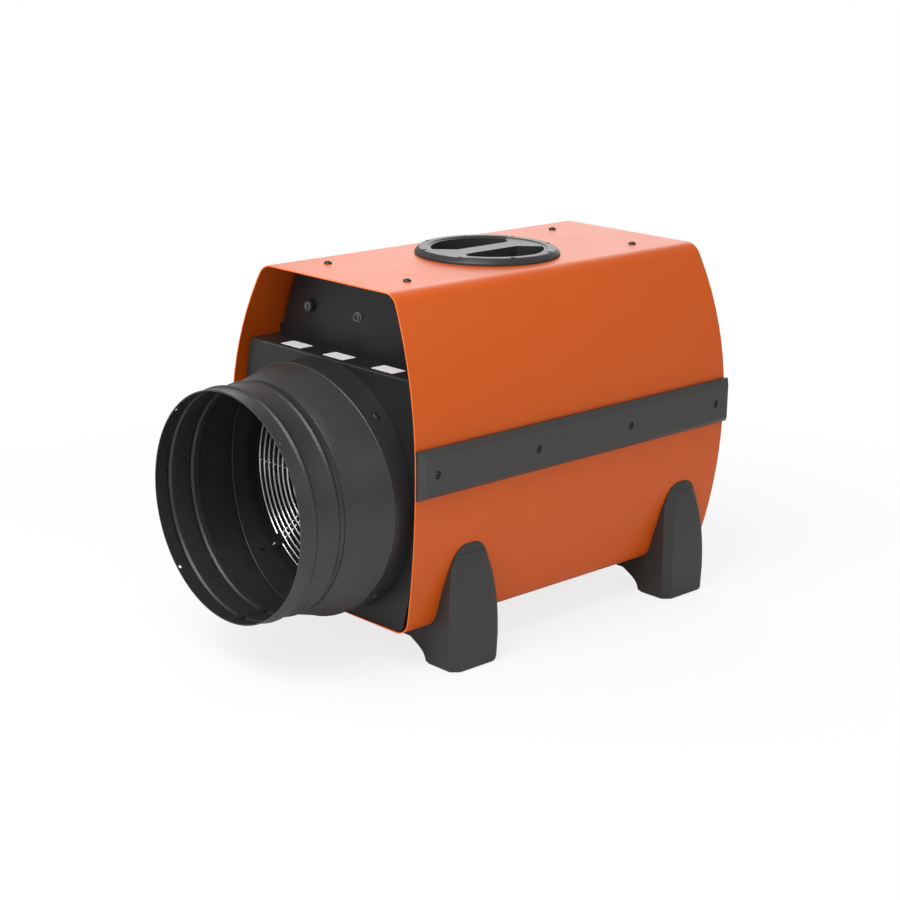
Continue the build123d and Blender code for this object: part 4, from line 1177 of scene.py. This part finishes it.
class HEATER_OT_controls(HeaterOperator):
    """Build the knobs, the reset button, the cable gland and the dial marks"""

    bl_idname = "heater.controls"
    bl_label = "Controls"

    tick_places = (72.0 * MM, 77.0 * MM, 82.0 * MM)
    tick_height = 384.0 * MM
    dash_place = 74.0 * MM
    dash_height = 365.0 * MM
    ink = 0.12 * MM
    knob_gap = 1.5 * MM
    stem = 5.0 * MM
    rib_count = 16
    rib = (1.3 * MM, 4.6 * MM, 1.3 * MM)
    rib_place = (0, -2.5 * MM, 7.3 * MM)
    dot_count = 7
    dot_from = -120.0
    dot_step = 40.0
    dot = (0.9 * MM, 0.12 * MM, 1.6 * MM)
    dot_place = (0, -5.23 * MM, 4.2 * MM)
    button_shaft = 1.5 * MM
    gland_edge = 0.3 * MM

    def dial_marks(self):
        """Printed marks beside the thermostat knob: three upright ticks over a dash, on both its sides."""
        bm = bmesh.new()
        low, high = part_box("thermostat_knob")
        marks = [(place, self.tick_height, 0.9 * MM, 3.0 * MM) for place in self.tick_places]
        marks.append((self.dash_place, self.dash_height, 4.5 * MM, 0.9 * MM))
        for place, height, width, tall in marks:
            for across in (place, low.x + high.x - place):
                block(bm, (width, self.ink, tall), (across, PANEL_Y - self.ink / 2, height))
        return bm

    def turned(self, lines, centre, front, steps, closed):
        """A form turned about a line along Y: its radius and place in millimetres from a front."""
        bm = bmesh.new()
        points = [(centre.x + radius * MM, front + y * MM, centre.z) for radius, y in lines]
        revolve(bm, points, steps, closed, (centre.x, 0, centre.z), (0, 1, 0))
        return bm

    def knob(self, node):
        """A low knob with straight ribs, a dished face and pale grey dots."""
        low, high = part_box(node)
        centre = (low + high) / 2
        back = PANEL_Y - self.knob_gap
        lines = [(0, -5.2), (5.2, -5.2), (5.8, -5.8), (6.6, -5.8), (7.1, -5.2), (7.4, 0), (0, 0)]
        bm = self.turned(lines, centre, back, 48, False)
        hub = (centre.x, back, centre.z)
        for number in range(self.rib_count):
            made = block(bm, self.rib, self.rib_place)
            turn = Matrix.Rotation(math.tau * number / self.rib_count, 3, "Y")
            bmesh.ops.rotate(bm, cent=(0, 0, 0), matrix=turn, verts=made)
            bmesh.ops.translate(bm, vec=hub, verts=made)
        stem_start = Vector((centre.x, back - 0.5 * MM, centre.z))
        straight_wire(bm, stem_start, Vector((centre.x, high.y, centre.z)), self.stem, 16)
        piece(node + "_cap", bm, [knob_plastic()], body_of(node), (node,))
        dots = bmesh.new()
        for number in range(self.dot_count):
            made = block(dots, self.dot, self.dot_place)
            turn = Matrix.Rotation(math.radians(self.dot_from + self.dot_step * number), 3, "Y")
            bmesh.ops.rotate(dots, cent=(0, 0, 0), matrix=turn, verts=made)
            bmesh.ops.translate(dots, vec=hub, verts=made)
        piece(node + "_dots", dots, [pale_knob_dots()], body_of(node))

    def reset(self):
        """The reset button in its round bezel."""
        low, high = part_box("reset_bezel")
        centre = (low + high) / 2
        lines = [(3.9, 5.5), (3.9, -4.0), (4.3, -4.7), (5.0, -4.7), (5.4, -4.2), (5.4, -1.2), (6.8, -1.0)]
        lines += [(7.0, -0.6), (7.0, 0.0), (5.2, 0.0), (5.2, 5.5)]
        bm = self.turned(lines, centre, PANEL_Y, 48, True)
        piece("reset_bezel_ring", bm, [bezel_plastic()], "heater", ("reset_bezel",))
        low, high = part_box("reset_button")
        end = (high.y - PANEL_Y) / MM
        shaft = self.button_shaft / MM
        lines = [(0, -3.4), (1.2, -3.4), (2.6, -4.2), (3.4, -4.2), (3.7, -3.8), (3.7, 1.5), (shaft, 1.5)]
        lines += [(shaft, end), (0, end)]
        bm = self.turned(lines, centre, PANEL_Y, 32, False)
        node = "reset_button"
        piece("reset_button_cap", bm, [control_plastic()], body_of(node), (node,))

    def execute(self, context):
        for node in ("stage_knob", "thermostat_knob"):
            self.knob(node)
        self.reset()
        for node in ("cable_gland", "gland_nut"):
            softened(node, self.gland_edge, [control_plastic()])
        piece("thermostat_marks", self.dial_marks(), [mark_ink()], "heater")
        return {"FINISHED"}


class HEATER_OT_labels(HeaterOperator):
    """Lay the three blank white labels on the ledge"""

    bl_idname = "heater.labels"
    bl_label = "Blank labels"

    centres = (-85.0 * MM, 0.75 * MM, 96.0 * MM)
    setback = 21.0 * MM
    film = 0.2 * MM
    corner = 2.0 * MM

    def execute(self, context):
        bm = bmesh.new()
        size = (sizes().label_length, sizes().label_width, self.film)
        for centre in self.centres:
            block(bm, size, (centre, FRONT + self.setback, LEDGE_Z + self.film / 2))
        upright = [e for e in bm.edges if abs(e.verts[0].co.z - e.verts[1].co.z) > self.film / 2]
        bevelled(bm, upright, self.corner, 4)
        piece("ledge_labels", bm, [label_film()], "heater")
        return {"FINISHED"}


class HEATER_OT_inside(HeaterOperator):
    """Give the pieces inside the heater their finishes"""

    bl_idname = "heater.inside"
    bl_label = "Pieces inside"

    def execute(self, context):
        finishes = {
            "zinc_sheet": galvanised_sheet,
            "element_steel": heated_steel,
            "fan_alloy": cast_aluminium,
            "motor_paint": motor_enamel,
            "shaft_steel": zinc_screw,
            "switch_plastic": switch_plastic,
            "control_plastic": control_plastic,
            "casing_paint": orange_powder_coat,
            "black_paint": black_powder_coat,
            "adapter_paint": structured_black_coat,
            "guard_wire": bright_wire,
            "rail_plastic": rail_plastic,
            "foot_plastic": foot_plastic,
            "handle_plastic": handle_plastic,
            "black_screw": black_oxide,
            "plated_screw": zinc_screw,
        }
        for name, node in NODES.items():
            material = finishes[slot_of(name)]()
            node.data.materials.clear()
            node.data.materials.append(material)
        return {"FINISHED"}


class HEATER_OT_stage(HeaterOperator):
    """Set the pale floor, the soft light and the camera"""

    bl_idname = "heater.stage"
    bl_label = "Stage"

    floor_size = 12.0
    fade_from = 0.5
    fade_to = 1.3
    white_share = 0.8
    target = (0.0, 0.0, 0.25)
    key_place = (0.45, -1.6, 2.1)
    key_size = (1.8, 1.4)
    rear_place = (-1.6, 2.0, 1.4)
    rear_size = (1.8, 1.9)
    side_place = (2.6, 0.9, 1.6)
    side_size = (1.6, 1.2)
    front_place = (0.3, -2.6, 1.2)
    front_size = (1.4, 1.2)

    def floor_material(self):
        """Matt white floor that keeps the soft shadow and shows white elsewhere."""
        material = bpy.data.materials.new("matt_white_floor")
        material.use_nodes = True
        material.node_tree.nodes.clear()
        path = add_node(material, "ShaderNodeLightPath")
        place = add_node(material, "ShaderNodeTexCoord")
        here = place.outputs["Object"]
        reach = add_node(material, "ShaderNodeVectorMath", [(here, 0)], operation="LENGTH")
        fade = add_node(
            material, "ShaderNodeMapRange", [(reach.outputs["Value"], "Value")],
            From_Min=self.fade_from, From_Max=self.fade_to, To_Min=self.white_share, To_Max=1.0,
        )
        share = add_node(
            material, "ShaderNodeMath", [(path.outputs["Is Camera Ray"], 0), (fade.outputs["Result"], 1)],
            operation="MULTIPLY",
        )
        paint = add_node(material, "ShaderNodeBsdfDiffuse", Color=to_linear("#F4F4F4"))
        glow = add_node(material, "ShaderNodeEmission", Color=(1, 1, 1, 1), Strength=1.0)
        mix = add_node(
            material, "ShaderNodeMixShader",
            [(share.outputs["Value"], "Fac"), (paint.outputs["BSDF"], 1), (glow.outputs["Emission"], 2)],
        )
        add_node(material, "ShaderNodeOutputMaterial", [(mix.outputs["Shader"], "Surface")])
        return material

    def sky(self, strength):
        """Even light from all round that shows white to the camera and paler grey in reflections."""
        world = bpy.data.worlds.new("white_studio")
        bpy.context.scene.world = world
        world.use_nodes = True
        world.node_tree.nodes.clear()
        path = add_node(world, "ShaderNodeLightPath")
        level = add_node(
            world, "ShaderNodeMapRange", [(path.outputs["Is Camera Ray"], "Value")],
            To_Min=strength, To_Max=1.0,
        )
        bright = level.outputs["Result"]
        glow = add_node(world, "ShaderNodeBackground", [(bright, "Strength")], Color=(1, 1, 1, 1))
        add_node(world, "ShaderNodeOutputWorld", [(glow.outputs["Background"], "Surface")])

    def softbox(self, name, place, size, power):
        light = bpy.data.lights.new(name, "AREA")
        light.shape = "RECTANGLE"
        light.size, light.size_y = size
        light.energy = power
        lamp = bpy.data.objects.new(name, light)
        lamp.location = place
        lamp.rotation_euler = (Vector(self.target) - Vector(place)).to_track_quat("-Z", "Y").to_euler()
        lamp.visible_camera = False
        bpy.context.scene.collection.objects.link(lamp)

    def execute(self, context):
        stage = context.scene.heater_stage
        bm = bmesh.new()
        bmesh.ops.create_grid(bm, x_segments=1, y_segments=1, size=self.floor_size)
        mesh = bpy.data.meshes.new("floor")
        bm.to_mesh(mesh)
        bm.free()
        mesh.materials.append(self.floor_material())
        floor = bpy.data.objects.new("floor", mesh)
        context.scene.collection.objects.link(floor)
        self.sky(stage.sky)
        self.softbox("key_softbox", self.key_place, self.key_size, stage.key)
        self.softbox("rear_softbox", self.rear_place, self.rear_size, stage.rear)
        self.softbox("side_softbox", self.side_place, self.side_size, stage.side)
        self.softbox("front_softbox", self.front_place, self.front_size, stage.front)
        azimuth = math.radians(stage.azimuth)
        elevation = math.radians(stage.elevation)
        level = math.cos(elevation)
        back = Vector((math.sin(azimuth) * level, -math.cos(azimuth) * level, math.sin(elevation)))
        right = (-back).cross(Vector((0, 0, 1))).normalized()
        up = right.cross(-back)
        roll = math.radians(stage.roll)
        turned_right = right * math.cos(roll) + up * math.sin(roll)
        turned_up = up * math.cos(roll) - right * math.sin(roll)
        camera = bpy.data.objects.new("camera", bpy.data.cameras.new("camera"))
        camera.data.sensor_width = 36.0
        camera.data.lens = stage.lens
        camera.data.clip_end = 100.0
        turn = Matrix((turned_right, turned_up, back)).transposed().to_4x4()
        camera.matrix_world = Matrix.Translation(stage.eye) @ turn
        context.scene.collection.objects.link(camera)
        context.scene.camera = camera
        context.scene.view_settings.view_transform = "Standard"
        return {"FINISHED"}


OPERATORS = (
    HEATER_OT_inside,
    HEATER_OT_casing,
    HEATER_OT_sheets,
    HEATER_OT_adapter,
    HEATER_OT_guards,
    HEATER_OT_rails,
    HEATER_OT_feet,
    HEATER_OT_handle,
    HEATER_OT_screws,
    HEATER_OT_controls,
    HEATER_OT_labels,
    HEATER_OT_stage,
)


class HEATER_PT_panel(bpy.types.Panel):
    """Lists the heater's pieces, sizes and finishes"""

    bl_label = "Heater"
    bl_idname = "HEATER_PT_panel"
    bl_space_type = "VIEW_3D"
    bl_region_type = "UI"
    bl_category = "Heater"

    def draw(self, context):
        layout = self.layout
        for operator in OPERATORS:
            layout.operator(operator.bl_idname)
        for group in (context.scene.heater_sizes, context.scene.heater_finish, context.scene.heater_stage):
            for name in group.__annotations__:
                layout.prop(group, name)


CLASSES = (HeaterSizes, HeaterFinish, HeaterStage) + OPERATORS + (HEATER_PT_panel,)


def register():
    for cls in CLASSES:
        bpy.utils.register_class(cls)
    bpy.types.Scene.heater_sizes = bpy.props.PointerProperty(type=HeaterSizes)
    bpy.types.Scene.heater_finish = bpy.props.PointerProperty(type=HeaterFinish)
    bpy.types.Scene.heater_stage = bpy.props.PointerProperty(type=HeaterStage)


def unregister():
    del bpy.types.Scene.heater_stage
    del bpy.types.Scene.heater_finish
    del bpy.types.Scene.heater_sizes
    for cls in reversed(CLASSES):
        bpy.utils.unregister_class(cls)


def main():
    register()
    for operator in OPERATORS:
        group, name = operator.bl_idname.split(".")
        result = getattr(getattr(bpy.ops, group), name)()
        if result != {"FINISHED"}:
            raise RuntimeError(operator.bl_idname + " did not finish")


if __name__ == "__main__":
    main()
